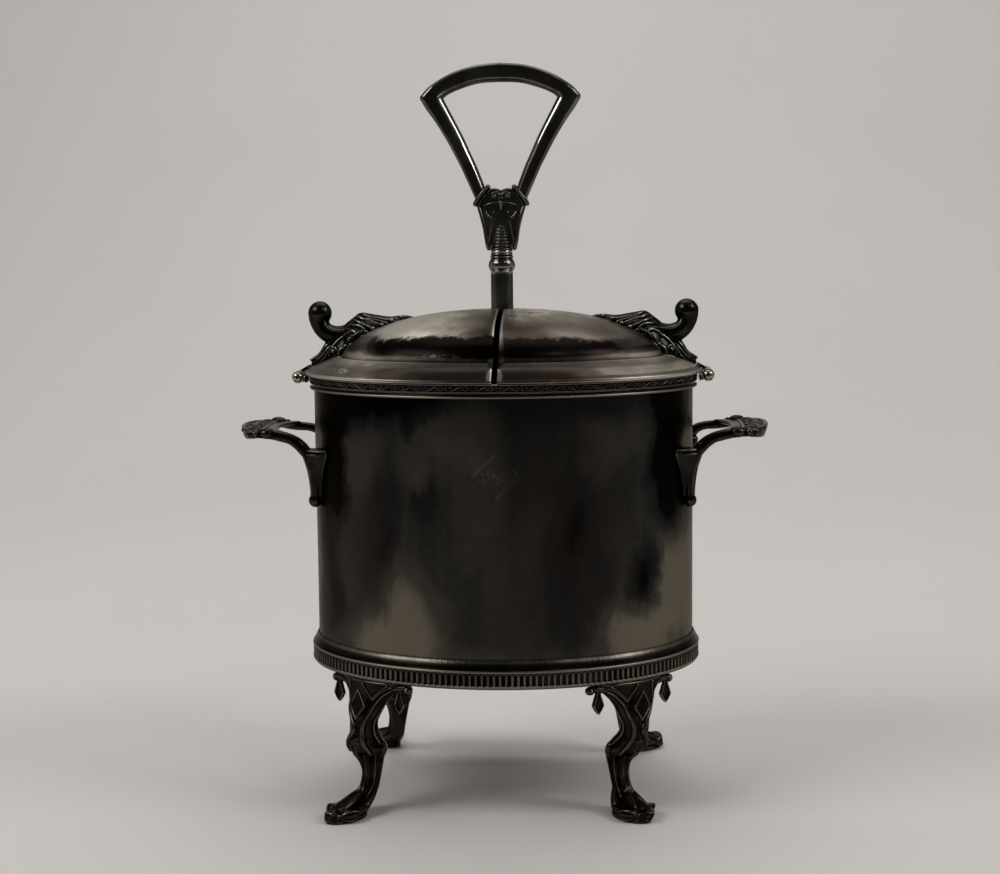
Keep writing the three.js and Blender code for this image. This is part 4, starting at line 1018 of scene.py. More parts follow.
def leg_line(points, r, n=None, lift=0.0, sides=8, side=1):
    """A raised line on the skin through (f degrees, z) points; side = -1 draws the matching line on the far side."""
    p = spline(points, n or 5 * len(points)) if len(points) > 2 else arr(points)
    t = np.linspace(0, len(p) - 1, n or 5 * len(points))
    f = np.interp(t, np.arange(len(p)), p[:, 0])
    z = np.interp(t, np.arange(len(p)), p[:, 1])
    if side < 0:
        f = 2 * leg_twist(z) - f
    q = leg_skin(np.radians(f), z, lift)
    return tube(q, r if np.ndim(r) else np.full(len(q), r), side=(LEG_NX, LEG_NY, 0.01), sides=sides)


def leg_corners(points, r, lift=0.0, side=1):
    """Straight raised bars between (f degrees, z) corners."""
    out = []
    for a, b in zip(points[:-1], points[1:]):
        out.append(leg_line([a, b], r, 8, lift, 8, side))
    return out


def leg_parts():
    parts = []
    zs = np.concatenate([[0.0, 0.2, 0.9, 1.2, 1.5, 1.8, 2.2, 2.6, 3.0], np.linspace(3.5, 55.9, 130 if FINE else 64)])
    deg = np.linspace(-180, 180, 120 if FINE else 72, endpoint=False)
    f = np.radians(deg)
    rings = []
    for z in zs:
        shrink = -0.25 if z < 0.1 else 0.0
        rings.append(leg_skin(f, np.full(len(f), z), shrink - leg_groove(deg, z)))
    parts.append(shell(arr(rings), False))
    w = 0.42 if FINE else 0.55
    for g in (-1, 1):
        # the S ridge that borders the broad smooth band, and the raised rib beside it
        t = np.linspace(0, 1, 60)
        size = np.stack([np.interp(t, [0, 0.5, 1], [w + 0.15, w + 0.25, w + 0.3]), np.interp(t, [0, 0.35, 0.6, 0.9, 1], [w, w + 0.1, 1.05, 1.15, 0.8])], 1)
        parts.append(leg_line([(-72, 53.8), (-61, 52.9), (-50, 50.5), (-42, 46.8), (-38, 43.0), (-32, 39.6), (-30, 36.6), (-33, 32.5), (-38, 28.8), (-46, 26.0)], size, 60, 0.05, 14, g))
        parts.append(leg_line([(-72, 54.6), (-60, 54.2), (-46, 53.7), (-38, 51.6), (-29, 48.6)], w, 30, 0.15, 8, g))
        # strap along the outer edge of the bracket
        parts.append(leg_line([(-86, 53.0), (-84, 50.0), (-82, 46.0), (-80, 42.0), (-80, 38.0), (-84, 34.0), (-92, 30.6), (-98, 28.0)], w * 0.8, 44, -0.15, 8, g))
        # V between the strap and the lozenge
        parts += leg_corners([(-40, 54.8), (-25, 48.8), (-4, 52.6), (3, 54.9)], w, 0.15, g)
    # lozenge
    parts += leg_corners([(16, 51.4), (-13, 45.4), (3, 40.4), (38, 44.8), (16, 51.4)], w, 0.15)
    # calf leaf: a small three-cornered boss at the knee
    c = leg_skin(np.radians(arr([-8, -30, 10, -8])), arr([30.4, 26.8, 26.2, 24.6]), -0.6)
    n = arr([LEG_NX, LEG_NY, 0.0])
    rows = []
    for k, up in ((1.15, -1.2), (1.05, 0.2), (0.62, 1.15), (0.1, 1.45)):
        ctr = c.mean(0)
        ring = arr([c[0], (c[0] + c[1]) / 2, c[1], (c[1] + c[3]) / 2, c[3], (c[3] + c[2]) / 2, c[2], (c[2] + c[0]) / 2])
        rows.append(ctr + (ring - ctr) * k + n * up)
    parts.append(shell(arr(rows), False))
    # knee: the band ends in a blunt corner on the inner side
    for g in (-1, 1):
        parts.append(blob(leg_skin(np.radians(g * 100.0), 27.2, -1.6), (2.6, 2.2, 3.4), x=(LEG_NY, -LEG_NX, 0)))
        # sharp shin ridges
        parts.append(leg_line([(g * 26, 25.0), (g * 18, 21.0), (g * 15, 17.0), (g * 14, 13.0), (g * 18, 9.6)], w, 30, -0.15, 8))
        parts.append(leg_line([(g * 62, 25.0), (g * 64, 20.0), (g * 66, 15.0), (g * 66, 11.0), (g * 60, 8.4)], w, 30, -0.15, 8))
    # paw: a big toe on each side and one in front, each with a nail in a raised oval
    up = arr([0, 0, 1.0])
    for deg0, zc, half, tall, big in ((-60, 3.1, 3.9, 1.9, 1.0), (64, 3.1, 3.9, 1.9, 1.0), (2, 2.9, 3.3, 1.6, 0.9)):
        a = math.radians(deg0)
        n = leg_skin(a + 0.0, 3.3, 1.0) - leg_skin(a, 3.3, 0.0)
        n /= np.linalg.norm(n)
        t = np.cross(up, n)
        ctr = leg_skin(a, zc, -1.7)
        parts.append(blob(ctr, (4.7 * big, 2.9, tall + 0.75), x=t))
        th = np.linspace(0, 2 * math.pi, 40)
        ring = []
        for k in th:
            u, v = half * math.cos(k), tall * math.sin(k)
            drop = (u / (4.9 * big)) ** 2 * 2.6 + (v / 3.3) ** 2 * 1.4
            ring.append(ctr + t * u + up * (v + 0.15) + n * (2.95 - drop))
        parts.append(tube(arr(ring), 0.42 if FINE else 0.55, side=n + up * 0.1, sides=8, ends=False))
        parts.append(blob(ctr + n * 1.1 + up * 0.1, (half * 0.62, 1.55, 1.2), x=t))
    # edge of the sole
    parts.append(leg_line([(-135, 1.35), (-90, 1.35), (-40, 1.35), (0, 1.35), (40, 1.35), (90, 1.35), (135, 1.35)], 0.34, 90, -0.3, 8))
    # tufts over the toes
    for deg0 in (-26, 30, -92, 96):
        a = math.radians(deg0)
        parts.append(tube(arr([leg_skin(a, 9.4, -0.6), leg_skin(a, 7.4, -0.3), leg_skin(a, 5.6, 0.1)]), [0.6, 1.05, 0.7], side=(LEG_NX, LEG_NY, 0.01), sides=10, n=14))
    drops = []
    side = (LEG_NX, LEG_NY, 0.01)

    def sag(q):
        return -(q * q) / (2 * LEG_CURVE) - 0.6

    for knob, drop in ((20.2, 18.3), (-19.0, -15.7)):
        g = 1 if knob > 0 else -1
        # scrolled knob at the end of the bracket and a kite-shaped pendant with a raised border
        drops.append(blob(leg_at(sag(knob), knob, 53.7), (1.9, 2.1, 1.8), x=side))
        drops.append(blob(leg_at(sag(knob) + 1.2, knob + 0.2 * g, 53.6), (1.0, 1.0, 0.9), x=side))
        drops.append(tube([leg_at(sag(q), q, zz) for q, zz in ((12.5 * g, 53.6), (15.5 * g, 54.1), (17.5 * g, 54.3), (knob, 54.0))], [1.4, 1.5, 1.5, 1.4], side=(0, 0, 1), sides=14, n=20))
        o = arr([(0.0, 43.6), (1.4, 45.2), (2.75, 47.4), (2.0, 49.6), (1.15, 51.8), (0.8, 53.4), (-0.8, 53.4), (-1.15, 51.8), (-2.0, 49.6), (-2.75, 47.4), (-1.4, 45.2)])
        rows = []
        for dr, kk in ((-1.3, 0.55), (-0.8, 0.96), (0.3, 1.0), (0.95, 0.97), (1.1, 0.86), (0.95, 0.74), (0.35, 0.60)):
            zc = 47.8
            rows.append(leg_at(sag(drop) + dr, drop + o[:, 0] * kk, zc + (o[:, 1] - zc) * (0.35 + kk * 0.65)))
        drops.append(shell(arr(rows), False))
    return parts, drops


def make_legs():
    base, drops = leg_parts()
    for name, sx, sy in (("front_left", -1, -1), ("front_right", 1, -1), ("back_left", -1, 1), ("back_right", 1, 1)):
        dx, dy = PAW_SHIFT[name]

        def bent(part):
            v, faces = part
            k = np.interp(v[:, 2], LEG_LEAN[:, 0], LEG_LEAN[:, 1])[:, None]
            return v + k * arr([dx, dy, 0.0]), faces

        parts = [bent(mirrored(p, sx, sy)) for p in base] + [mirrored(p, sx, sy) for p in drops]
        me = cast("leg_" + name + "_v", parts, 0.24 if FINE else 0.42, "leg_" + name, 1)
        place("paw_leg_" + name, me, LEG, "vessel", ["leg_" + name])


# ------------------------------------------------------------------ side handles
def make_side_handle(side):
    parts = []

    def surf(y):
        return A * math.sqrt(1 - (y / B) ** 2)

    for sy in (-1, 1):
        arm = arr([
            [105.0, 20.8, 154.4, 2.2, 1.7], [99.0, 21.2, 154.3, 2.2, 1.8], [95.0, 21.6, 154.0, 2.3, 2.0], [91.2, 21.9, 153.3, 2.4, 2.2], [87.6, 22.1, 152.2, 2.3, 2.2],
            [84.6, 22.2, 150.3, 2.4, 2.4], [82.2, 22.2, 147.8, 2.5, 2.4], [79.8, 22.2, 144.4, 2.1, 2.2], [78.7, 21.9, 139.6, 1.8, 1.9], [78.4, 21.3, 134.2, 1.6, 1.7],
            [78.3, 20.7, 130.0, 1.6, 1.6], [78.3, 20.2, 127.2, 1.7, 1.6],
        ])
        if sy > 0:  # the back arm is flatter and keeps its height nearer to the vessel
            arm[:, 2] += arr([0, 0, -0.4, -0.1, 0.7, 1.9, 3.0, 2.6, 1.0, 0, 0, 0])
            arm[:7, 4] *= arr([1, 0.95, 0.92, 0.86, 0.8, 0.78, 0.85])
        arm[:, 1] *= sy
        parts.append(tube(arm[:, :3], arm[:, 3:], side=(0, 1, 0), sides=24, power=0.66, n=80))
        # thin bright ridge along the upper edge of the arm
        rid = arm[2:9].copy()
        rid[:, 1] += sy * rid[:, 3] * 0.62
        rid[:, 2] += rid[:, 4] * 0.62
        rid[:, 0] += arr([0.0, 0.2, 0.6, 1.1, 1.5, 1.8, 1.9])
        parts.append(tube(rid[:, :3], np.full(len(rid), 0.6), side=(0, 1, 0), sides=10, n=36))
        # ball under the tail
        parts.append(blob((78.3, 19.7 * sy, 126.1), (2.75, 2.7, 2.85), nu=28, nv=24))
        parts.append(blob((78.5, 19.9 * sy, 128.9), (2.0, 2.1, 0.6)))
        # root: one smooth shield on the vessel side, merging into the arm, with a rounded shoulder
        rows = arr([
            [148.35, 24.4, 20.4, 81.2], [148.2, 26.2, 19.5, 82.5], [147.85, 27.3, 19.0, 83.1], [147.2, 27.8, 18.8, 83.3], [146.0, 27.8, 18.6, 83.1], [144.2, 27.2, 18.3, 82.6],
            [141.5, 25.9, 18.0, 81.7], [138.0, 24.3, 17.9, 81.0], [134.0, 22.9, 17.7, 80.55], [130.5, 21.9, 17.7, 80.3], [128.0, 21.3, 18.0, 80.1],
        ])
        th = np.linspace(0, math.pi, 30)
        rings = []
        for z, yf, yr, xo in spline(rows, 48):
            ym, half = (yf + yr) / 2, (yf - yr) / 2
            yo = min(ym, 22.0)
            ring = []
            for a in th:
                y = ym + half * math.cos(a)
                push = math.sin(a) ** 0.62
                y = y + (yo - ym) * push
                x = surf(y) + 0.2 + (xo - surf(yo) - 0.2) * push
                ring.append((x, y * sy, z))
            for a in th[::-1][3:-3:3]:
                y = ym + half * 0.94 * math.cos(a)
                ring.append((surf(y) - 0.6, y * sy, z))
            rings.append(ring)
        parts.append(shell(arr(rings), False))
        # fine step near the top of the root
        step = []
        for a in np.linspace(0.22, math.pi * 0.52, 14):
            yf, yr, xo = 27.6, 18.5, 83.1
            ym, half = (yf + yr) / 2, (yf - yr) / 2
            y = ym + half * math.cos(a)
            push = math.sin(a) ** 0.62
            y = y + (22.0 - ym) * push
            step.append((surf(y) + 0.3 + (xo - surf(22.0) - 0.2) * push, (y + 0.05) * sy, 145.9))
        parts.append(tube(step, 0.32, side=(0, 0, 1), sides=10, n=26))
        # rounded boss where the grip meets the arm
        if sy < 0:
            parts.append(blob((97.6, -21.6, 154.6), (3.5, 2.9, 2.35), nu=28, nv=24))
            parts.append(blob((102.4, -21.8, 154.6), (1.9, 2.4, 1.9)))
        else:
            parts.append(blob((100.4, 20.6, 155.5), (3.5, 2.9, 1.9), nu=28, nv=24))
            parts.append(blob((96.4, 21.4, 154.6), (1.5, 2.6, 1.7)))

    # grip: an outer lip, a pierced lattice beside it and a smooth flat web inboard
    def inner(y):
        return 96.2 - 6.0 * (abs(y) / 21.0) ** 2

    def outer(y):
        return 112.2 - 7.8 * (abs(y) / 24.0) ** (2.3 if y < 0 else 3.6)

    yy = np.linspace(-22.6, 22.6, 45)
    lip = arr([(outer(y) - 1.95, y, 153.85 + 0.45 * (abs(y) / 22.6) ** 2) for y in yy])
    tall = 3.0 - 1.25 * (np.abs(yy) / 22.6) ** 2
    v, f = tube(lip, np.stack([np.full(45, 1.0), tall], 1), side=(1, 0, 0), sides=24, power=0.6)
    v[:, 0] += (v[:, 2] - 153.9) * 0.28  # leans inward towards the bottom
    v[:, 2] = np.minimum(v[:, 2], 157.0)
    parts.append((v, f))
    # web
    n = 33
    rings = []
    for y in np.linspace(-20.6, 20.6, n):
        x0 = inner(y)
        x1 = 100.6 - 0.7 * (abs(y) / 20.6) ** 2
        zc = 155.0 - 0.25 * (abs(y) / 20.6) ** 2
        sec = []
        for x, z in ((x0, zc), (x0 + 0.3, zc + 0.62), (x0 + 0.8, zc + 0.85), ((x0 + x1) / 2, zc + 0.9), (x1 - 0.5, zc + 0.95), (x1, zc + 0.7), (x1, zc - 0.7), (x1 - 0.5, zc - 0.95), ((x0 + x1) / 2, zc - 0.9), (x0 + 0.8, zc - 0.85), (x0 + 0.3, zc - 0.62)):
            sec.append((x, y, z))
        rings.append(sec)
    parts.append(shell(arr(rings), False))
    # rim of the lattice next to the web
    yy = np.linspace(-19.8, 19.8, 31)
    parts.append(tube([(100.9 - 0.7 * (abs(y) / 20) ** 2, y, 155.6) for y in yy], np.stack([np.full(31, 0.75), np.full(31, 0.85)], 1), side=(1, 0, 0), sides=14))
    for sy in (-1, 1):
        # bars of the lattice: crossing pairs, each with a button where they meet
        for y0, y1 in ((20.6, 13.2), (13.2, 20.6), (13.2, 5.2), (5.2, 13.2), (5.2, -2.6), (-2.6, 5.2)):
            if y1 < 0 and sy < 0 or y0 < 0 and sy < 0:
                continue
            a = (101.2, y0 * sy, 155.5)
            b = (outer(y1) - 1.8, y1 * sy, 155.2)
            mid = ((a[0] + b[0]) / 2, (a[1] + b[1]) / 2, 155.95)
            parts.append(tube([a, mid, b], np.stack([[0.75, 0.9, 0.75], [0.8, 0.8, 0.8]], 1), side=(0, 1, 0), sides=12, n=14))
        for yc in (16.9, 9.2):
            parts.append(blob(((101.0 + outer(yc)) / 2 - 0.3, yc * sy, 156.0), (1.35, 1.35, 0.8)))
            parts.append(blob(((101.0 + outer(yc)) / 2 - 3.0, yc * sy, 155.7), (1.2, 1.6, 0.7)))
        # end bar beside the boss
        parts.append(tube([(101.0, 20.3 * sy, 155.1), (outer(21.8) - 1.4, 21.4 * sy, 154.7)], [1.5, 1.3], side=(0, 1, 0), sides=14, n=10))
    parts.append(blob(((101.0 + 112.0) / 2, 0, 155.6), (3.4, 2.6, 1.1)))
    name = "left" if side < 0 else "right"

    def seat(p):
        k = np.sqrt((p[:, 0] / (A + 0.1)) ** 2 + (p[:, 1] / (B + 0.1)) ** 2)
        push = np.where(k < 1, 1 / np.maximum(k, 1e-6), 1.0)
        p[:, :2] *= push[:, None]
        p[:, 2] = np.minimum(p[:, 2], 157.3)
        return p

    me = cast("side_handle_" + name + "_v", [p if side > 0 else mirrored(p, -1, 1) for p in parts], 0.26 if FINE else 0.42, "side_handle_" + name, 1, seat)
    place("bow_handle_" + name, me, CAST, "vessel", ["side_handle_" + name])


# ------------------------------------------------------------------ egg rack
def ring_hole(x, y, r, n=64):
    f = np.linspace(0, 2 * math.pi, n, endpoint=False)
    return np.stack([x + r * np.cos(f), y + r * np.sin(f)], 1)


def pierced(name, a, b, z, thick, holes, mat, node, rolled=0.0):
    """Oval plate with round holes: a filled 2-D curve, extruded with an eased edge."""
    cu = bpy.data.curves.new(name, "CURVE")
    cu.dimensions = "2D"
    cu.fill_mode = "BOTH"
    ease = 0.22
    cu.extrude = (thick / 2 - ease) * MM
    cu.bevel_depth = ease * MM
    cu.bevel_resolution = 2
    t = np.linspace(0, 2 * math.pi, 160, endpoint=False)
    outlines = [np.stack([(a - ease) * np.cos(t), (b - ease) * np.sin(t)], 1)]
    outlines += [ring_hole(x, y, r + ease)[::-1] for x, y, r in holes]
    for o in outlines:
        s = cu.splines.new("POLY")
        s.points.add(len(o) - 1)
        flat = np.zeros((len(o), 4), np.float32)
        flat[:, :2] = o * MM
        flat[:, 3] = 1
        s.points.foreach_set("co", flat.ravel())
        s.use_cyclic_u = True
    tmp = bpy.data.objects.new(name + "_raw", cu)
    bpy.context.scene.collection.objects.link(tmp)
    dg = bpy.context.evaluated_depsgraph_get()
    me = bpy.data.meshes.new_from_object(tmp.evaluated_get(dg))
    bpy.data.objects.remove(tmp)
    p = coords(me)
    p[:, 2] += (z + thick / 2) * MM
    me.vertices.foreach_set("co", p.astype(np.float32).ravel())
    me.update()
    import bmesh
    bm = bmesh.new()
    bm.from_mesh(me)
    bmesh.ops.remove_doubles(bm, verts=bm.verts[:], dist=1e-7)
    bmesh.ops.recalc_face_normals(bm, faces=bm.faces[:])
    bm.to_mesh(me)
    bm.free()
    me.name = name
    me.materials.clear()
    place(name, me, mat, "rack", [node], sharp=35, rounds=3)


def make_rack():
    seats = [(0, 30), (0, -30), (45, 20), (-45, 20), (45, -20), (-45, -20)]
    posts = [(22.5, 25), (-22.5, 25), (22.5, -25), (-22.5, -25)]
    # stem: polished tube with a flanged collar over the egg plate
    prof = [(0.0, 61.5), (2.4, 61.5), (3.0, 62.1)]
    prof += [(3.0 if k % 2 else 2.78, 62.4 + 0.35 * k) for k in range(12)]
    prof += [(3.0, 66.8), (3.0, 84.0), (3.0, 101.8), (8.1, 101.8), (8.45, 102.0), (8.5, 102.4), (8.4, 102.8), (8.0, 103.0), (7.2, 103.2), (6.2, 104.0), (5.3, 104.9), (4.7, 105.8), (4.7, 107.0)]
    prof += [(4.7, z) for z in (120, 140, 160, 180, 200, 210, 217.5)] + [(4.7, 219.2), (4.7, 220.2), (4.66, 220.75), (4.3, 220.95), (0.0, 221.0)]
    me = build("rack_stem_v", [turned(prof, 96)])
    place("stem", me, GLOSS, "rack", ["rack_stem"], sharp=50, rounds=3)
    pierced("egg_tray", 76.0, 57.5, 100.0, 1.5, [(0, 0, 3.3)] + [(x, y, 2.1) for x, y in posts] + [(x, y, 18.5) for x, y in seats], INNER, "egg_plate")
    pierced("egg_rest", 74.0, 55.5, 68.0, 1.2, [(0, 0, 3.3)] + [(x, y, 2.1) for x, y in posts] + [(x, y, 8.0) for x, y in seats], INNER, "egg_rest_plate")
    prof = [(0, 59.5), (1.3, 59.55), (1.8, 59.9), (2.5, 60.5), (2.85, 61.2), (2.9, 62.2), (2.85, 63.1), (2.5, 63.9), (1.9, 64.6), (1.8, 65.4), (1.8, 66.2), (2.85, 66.2), (3.0, 66.4), (3.0, 67.5), (2.85, 67.7), (1.8, 67.7),
            (1.8, 74), (1.8, 82), (1.8, 90), (1.8, 98.4), (2.85, 98.4), (3.0, 98.6), (3.0, 99.5), (2.85, 99.7), (1.8, 99.7), (1.8, 101.8), (2.85, 101.8), (3.0, 102.05), (2.85, 102.7), (2.3, 103.3), (1.3, 103.7), (0, 103.8)]
    for i, (x, y) in enumerate(posts):
        p = turn_xyz(turned(prof, 40), lambda v: v + arr([x, y, 0]))
        me = build(f"rack_post_{i + 1}_v", [p])
        place(f"post_{i + 1}", me, INNER, "rack", [f"rack_post_{i + 1}"], sharp=50, rounds=3)
    # hexagon nut with rounded corners, and its washer
    f = np.linspace(0, 2 * math.pi, 96, endpoint=False)
    hexr = 6.2 * math.cos(math.pi / 6) / np.cos((f % (math.pi / 3)) - math.pi / 6)
    rows = []
    for z, cap in ((62.6, 5.5), (62.95, 5.95), (63.25, 6.2), (65.55, 6.2), (65.85, 5.95), (66.2, 5.5)):
        r = np.minimum(hexr, cap)
        rows.append(np.stack([r * np.cos(f), r * np.sin(f), np.full(96, z)], 1))
    for z, r in ((66.2, 3.5), (65.9, 3.3), (62.9, 3.3), (62.6, 3.5)):
        rows.append(np.stack([r * np.cos(f), r * np.sin(f), np.full(96, z)], 1))
    me = build("stem_nut_v", [shell(arr(rows), True)])
    place("nut", me, CAST, "rack", ["stem_nut"], sharp=35, rounds=3)
    me = build("stem_washer_v", [turned([(3.35, 66.6), (7.8, 66.6), (8.0, 66.8), (8.0, 67.4), (7.8, 67.6), (3.35, 67.6)], 64, closed=True)])
    place("washer", me, CAST, "rack", ["stem_washer"], sharp=35, rounds=3)
    # knop: a bulb, a fillet and a ring
    prof = [(0, 220.5), (4.45, 220.5), (4.7, 220.7), (4.9, 221.2), (5.35, 221.9), (5.62, 222.7), (5.66, 223.4), (5.55, 224.2), (5.25, 225.0), (4.85, 225.7), (4.55, 226.1), (4.5, 226.35), (4.68, 226.5), (4.98, 226.7), (5.0, 226.95), (4.72, 227.2), (4.45, 227.35), (4.42, 227.6), (4.66, 227.85), (4.68, 228.1), (4.4, 228.4), (4.4, 228.6), (4.62, 228.9), (4.6, 229.3), (4.3, 229.7), (0, 229.8)]
    me = build("stem_knop_v", [turned(prof, 96)])
    place("knop", me, GLOSS, "rack", ["stem_knop"], sharp=60, rounds=3)


def make_crotch():
    parts = []
    # body: a shield that widens from the stem to the two collars, with free pointed wings at its foot
    half = spline([[4.6, 229.7], [5.4, 231.2], [6.0, 234.0], [6.7, 238.0], [7.7, 242.5], [8.9, 246.0], [10.2, 248.6], [10.8, 250.6], [10.0, 253.2], [6.6, 255.0], [4.6, 254.6]], 36)
    outline = np.vstack([half, half[::-1] * [-1, 1]])
    rows = []
    c = outline.mean(0)
    for y, k in ((-2.4, 0.88), (-2.1, 0.96), (-1.2, 1.0), (1.2, 1.0), (2.1, 0.96), (2.4, 0.88)):
        q = c + (outline - c) * k
        rows.append(np.stack([q[:, 0], np.full(len(q), y), q[:, 1]], 1))
    parts.append(shell(arr(rows), False))
    # round ribbed cone up the middle
    prof = [(0, 229.5)]
    ribs = 13
    for i in range(ribs):
        f = i / ribs
        r = 4.75 + (1.35 - 4.75) * f ** 0.82
        z = 229.6 + 17.6 * f
        prof += [(r - 0.34, z), (r, z + 0.42), (r, z + 0.82), (r - 0.36, z + 1.22)]
    prof += [(0.9, 247.3), (0, 247.9)]
    parts.append(turned(prof, 56))
    for sy in (-1, 1):
        y = 2.6 * sy
        for sx in (-1, 1):
            # wing: a ridge from the collar to a free point beside the cone
            parts.append(tube([(sx * 9.6, y * 0.72, 248.2), (sx * 8.3, y * 0.95, 244.0), (sx * 7.0, y * 1.02, 239.0), (sx * 6.2, y * 1.0, 234.0), (sx * 5.7, y * 0.9, 230.8), (sx * 5.2, y * 0.8, 229.3)], [0.7, 0.75, 0.8, 0.85, 0.7, 0.3], side=(0, 1, 0), sides=12, n=30))
            parts.append(tube([(sx * 3.0, y * 1.15, 245.6), (sx * 3.9, y * 1.2, 241.0), (sx * 4.9, y * 1.1, 236.0), (sx * 5.5, y * 0.95, 231.6)], [0.4, 0.5, 0.5, 0.35], side=(0, 1, 0), sides=10, n=24))
            # eye scrolls under the arch
            th = np.linspace(-0.5, 1.6 * math.pi, 26)
            rad = np.linspace(2.05, 0.75, 26)
            cx, cz = sx * 2.45, 252.5
            parts.append(tube(np.stack([cx - sx * rad * np.cos(th), np.full(26, y + 0.55 * sy), cz + rad * np.sin(th) * 0.85], 1), np.linspace(0.62, 0.42, 26), side=(0, 1, 0), sides=10))
            parts.append(blob((cx, y + 0.5 * sy, cz), (0.62, 0.7, 0.62)))
            # cheek arcs below the eye line
            parts.append(tube([(sx * 6.6, y * 1.02, 248.4), (sx * 6.5, y * 1.1, 246.0), (sx * 5.4, y * 1.15, 244.2), (sx * 4.4, y * 1.1, 243.4)], 0.45, side=(0, 1, 0), sides=10, n=18))
        # eye line and the drop in the middle
        parts.append(tube([(-6.0, y * 1.05, 248.7), (-3.2, y * 1.2, 249.5), (0, y * 1.25, 249.8), (3.2, y * 1.2, 249.5), (6.0, y * 1.05, 248.7)], [0.4, 0.55, 0.62, 0.55, 0.4], side=(0, 0, 1), sides=10, n=24))
        parts.append(tube([(0, y * 1.2, 249.6), (0, y * 1.15, 246.8)], [1.0, 0.4], side=(0, 1, 0), sides=12))
    for sx in (-1, 1):
        # collar: a thick diagonal bar that wraps the foot of each arm
        parts.append(tube([(sx * 5.5, 0, 256.1), (sx * 7.8, 0, 253.6), (sx * 9.6, 0, 251.3), (sx * 10.9, 0, 249.0)], np.stack([np.array([3.7, 4.1, 4.1, 3.6]), np.array([1.1, 1.15, 1.15, 1.05])], 1), side=(0, 1, 0), sides=24, power=0.75, n=24))
        parts.append(tube([(sx * 4.9, 0, 254.4), (sx * 7.0, 0, 252.2), (sx * 8.6, 0, 250.0), (sx * 9.7, 0, 247.9)], np.stack([np.array([2.9, 3.3, 3.3, 2.9]), np.array([0.5, 0.55, 0.55, 0.45])], 1), side=(0, 1, 0), sides=20, n=24))
    # arch over the two scrolls
    parts.append(tube([(-4.9, 0, 254.4), (-3.4, 0, 255.0), (-1.9, 0, 254.9), (0, 0, 254.3), (1.9, 0, 254.9), (3.4, 0, 255.0), (4.9, 0, 254.4)], np.stack([np.full(7, 3.0), np.full(7, 0.62)], 1), side=(0, 1, 0), sides=18, n=34))
    me = cast("handle_crotch_v", parts, 0.15 if FINE else 0.28, "handle_crotch", 1)
    place("shield", me, GLOSS, "rack", ["handle_crotch"], rounds=10)


def make_loop():
    # matching outer and inner outlines from the left foot over the arc to the right foot
    o_arm = arr([[10.9, 251.2], [14.0, 258.2], [16.5, 263.8], [19.0, 268.7], [21.6, 273.7], [24.4, 278.6], [27.5, 283.5], [31.0, 288.4], [33.5, 292.6]])
    i_arm = arr([[6.2, 254.4], [8.1, 259.6], [10.2, 264.9], [12.7, 270.4], [14.9, 275.4], [17.3, 280.3], [19.9, 285.3], [22.3, 289.9], [23.9, 293.0]])
    o_arc = arr([[33.6, 293.9], [29.2, 298.3], [20.6, 303.3], [10.5, 306.4], [0, 307.4]])
    i_arc = arr([[23.9, 293.0], [21.3, 294.9], [15.6, 297.2], [8.2, 299.1], [0, 299.5]])
    n1, n2 = (40, 36) if FINE else (20, 18)
    O = np.vstack([spline(o_arm, n1), spline(o_arc, n2)])
    I = np.vstack([spline(i_arm, n1), spline(i_arc, n2)])
    O = np.vstack([O * [-1, 1], (O[::-1])[1:]])
    I = np.vstack([I * [-1, 1], (I[::-1])[1:]])
    # section from the inner to the outer edge: narrow bevel, bright ridge, shallow hollow face, rounded back
    sec = [(0.0, 0.9), (0.02, 1.25), (0.14, 2.30), (0.158, 2.42), (0.222, 2.80), (0.24, 2.82), (0.262, 2.72), (0.50, 2.62), (0.78, 2.72), (0.85, 2.60), (0.93, 2.0), (0.975, 1.55), (1.0, 0.9)]
    ring = sec + [(w, -y) for w, y in sec[::-1]]
    rings = []
    for o, i in zip(O, I):
        rings.append([(i[0] + (o[0] - i[0]) * w, y, i[1] + (o[1] - i[1]) * w) for w, y in ring])
    me = build("loop_handle_v", [shell(arr(rings), False)])
    lo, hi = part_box("loop_handle")
    p = np.clip(coords(me), arr([lo[0], lo[1], 0.0]), arr(hi))
    me.vertices.foreach_set("co", p.astype(np.float32).ravel())
    me.update()
    place("fan_handle", me, GLOSS, "rack", ["loop_handle"], sharp=32, rounds=3)
    # the narrow bevel along the inner edge of the arms gets a painted highlight: its relief is set high so that it
    # takes the brightest tone
    w = np.tile(arr([q[0] for q in ring]), len(rings))
    dep = np.abs(np.tile(arr([q[1] for q in ring]), len(rings)))
    at = me.attributes["relief"]
    h = np.zeros(len(me.vertices), np.float32)
    at.data.foreach_get("value", h)
    if len(h) >= len(w):
        arm = np.repeat((np.arange(len(rings)) < n1) | (np.arange(len(rings)) >= len(rings) - n1), len(ring))
        h[:len(w)] = np.where((w > 0.15) & (w < 0.245) & (dep > 2.35) & arm, 0.42, np.clip(h[:len(w)], -0.01, 0.02))
    at.data.foreach_set("value", h)


make_wall()
make_floor()
make_mouldings()
for s in (-1, 1):
    make_lid(s)
    make_scroll(s)
    make_hinge(s)
    make_side_handle(s)
make_legs()
make_rack()
make_crotch()
make_loop()


# ------------------------------------------------------------------ stage, lights, camera
def stage_material():
    m = Net("pale_paper")
    n = m.noise(m.obj, 2.2, 3, 0.5)
    paper = m.mix(m.step(n, 0.3, 0.7), (0.640, 0.618, 0.600), (0.665, 0.642, 0.622))
    # painted shade: the floor turns dark towards the camera, past y = -0.45 m, for the unlit side of the room
    m.put(m.bsdf.inputs["Base Color"], m.mix(m.step(m.xyz()[1], -0.45, -1.20), paper, (0.170, 0.164, 0.158)))
    m.bsdf.inputs["Roughness"].default_value = 0.75
    m.bsdf.inputs["Specular IOR Level"].default_value = 0.25
    return m.mat


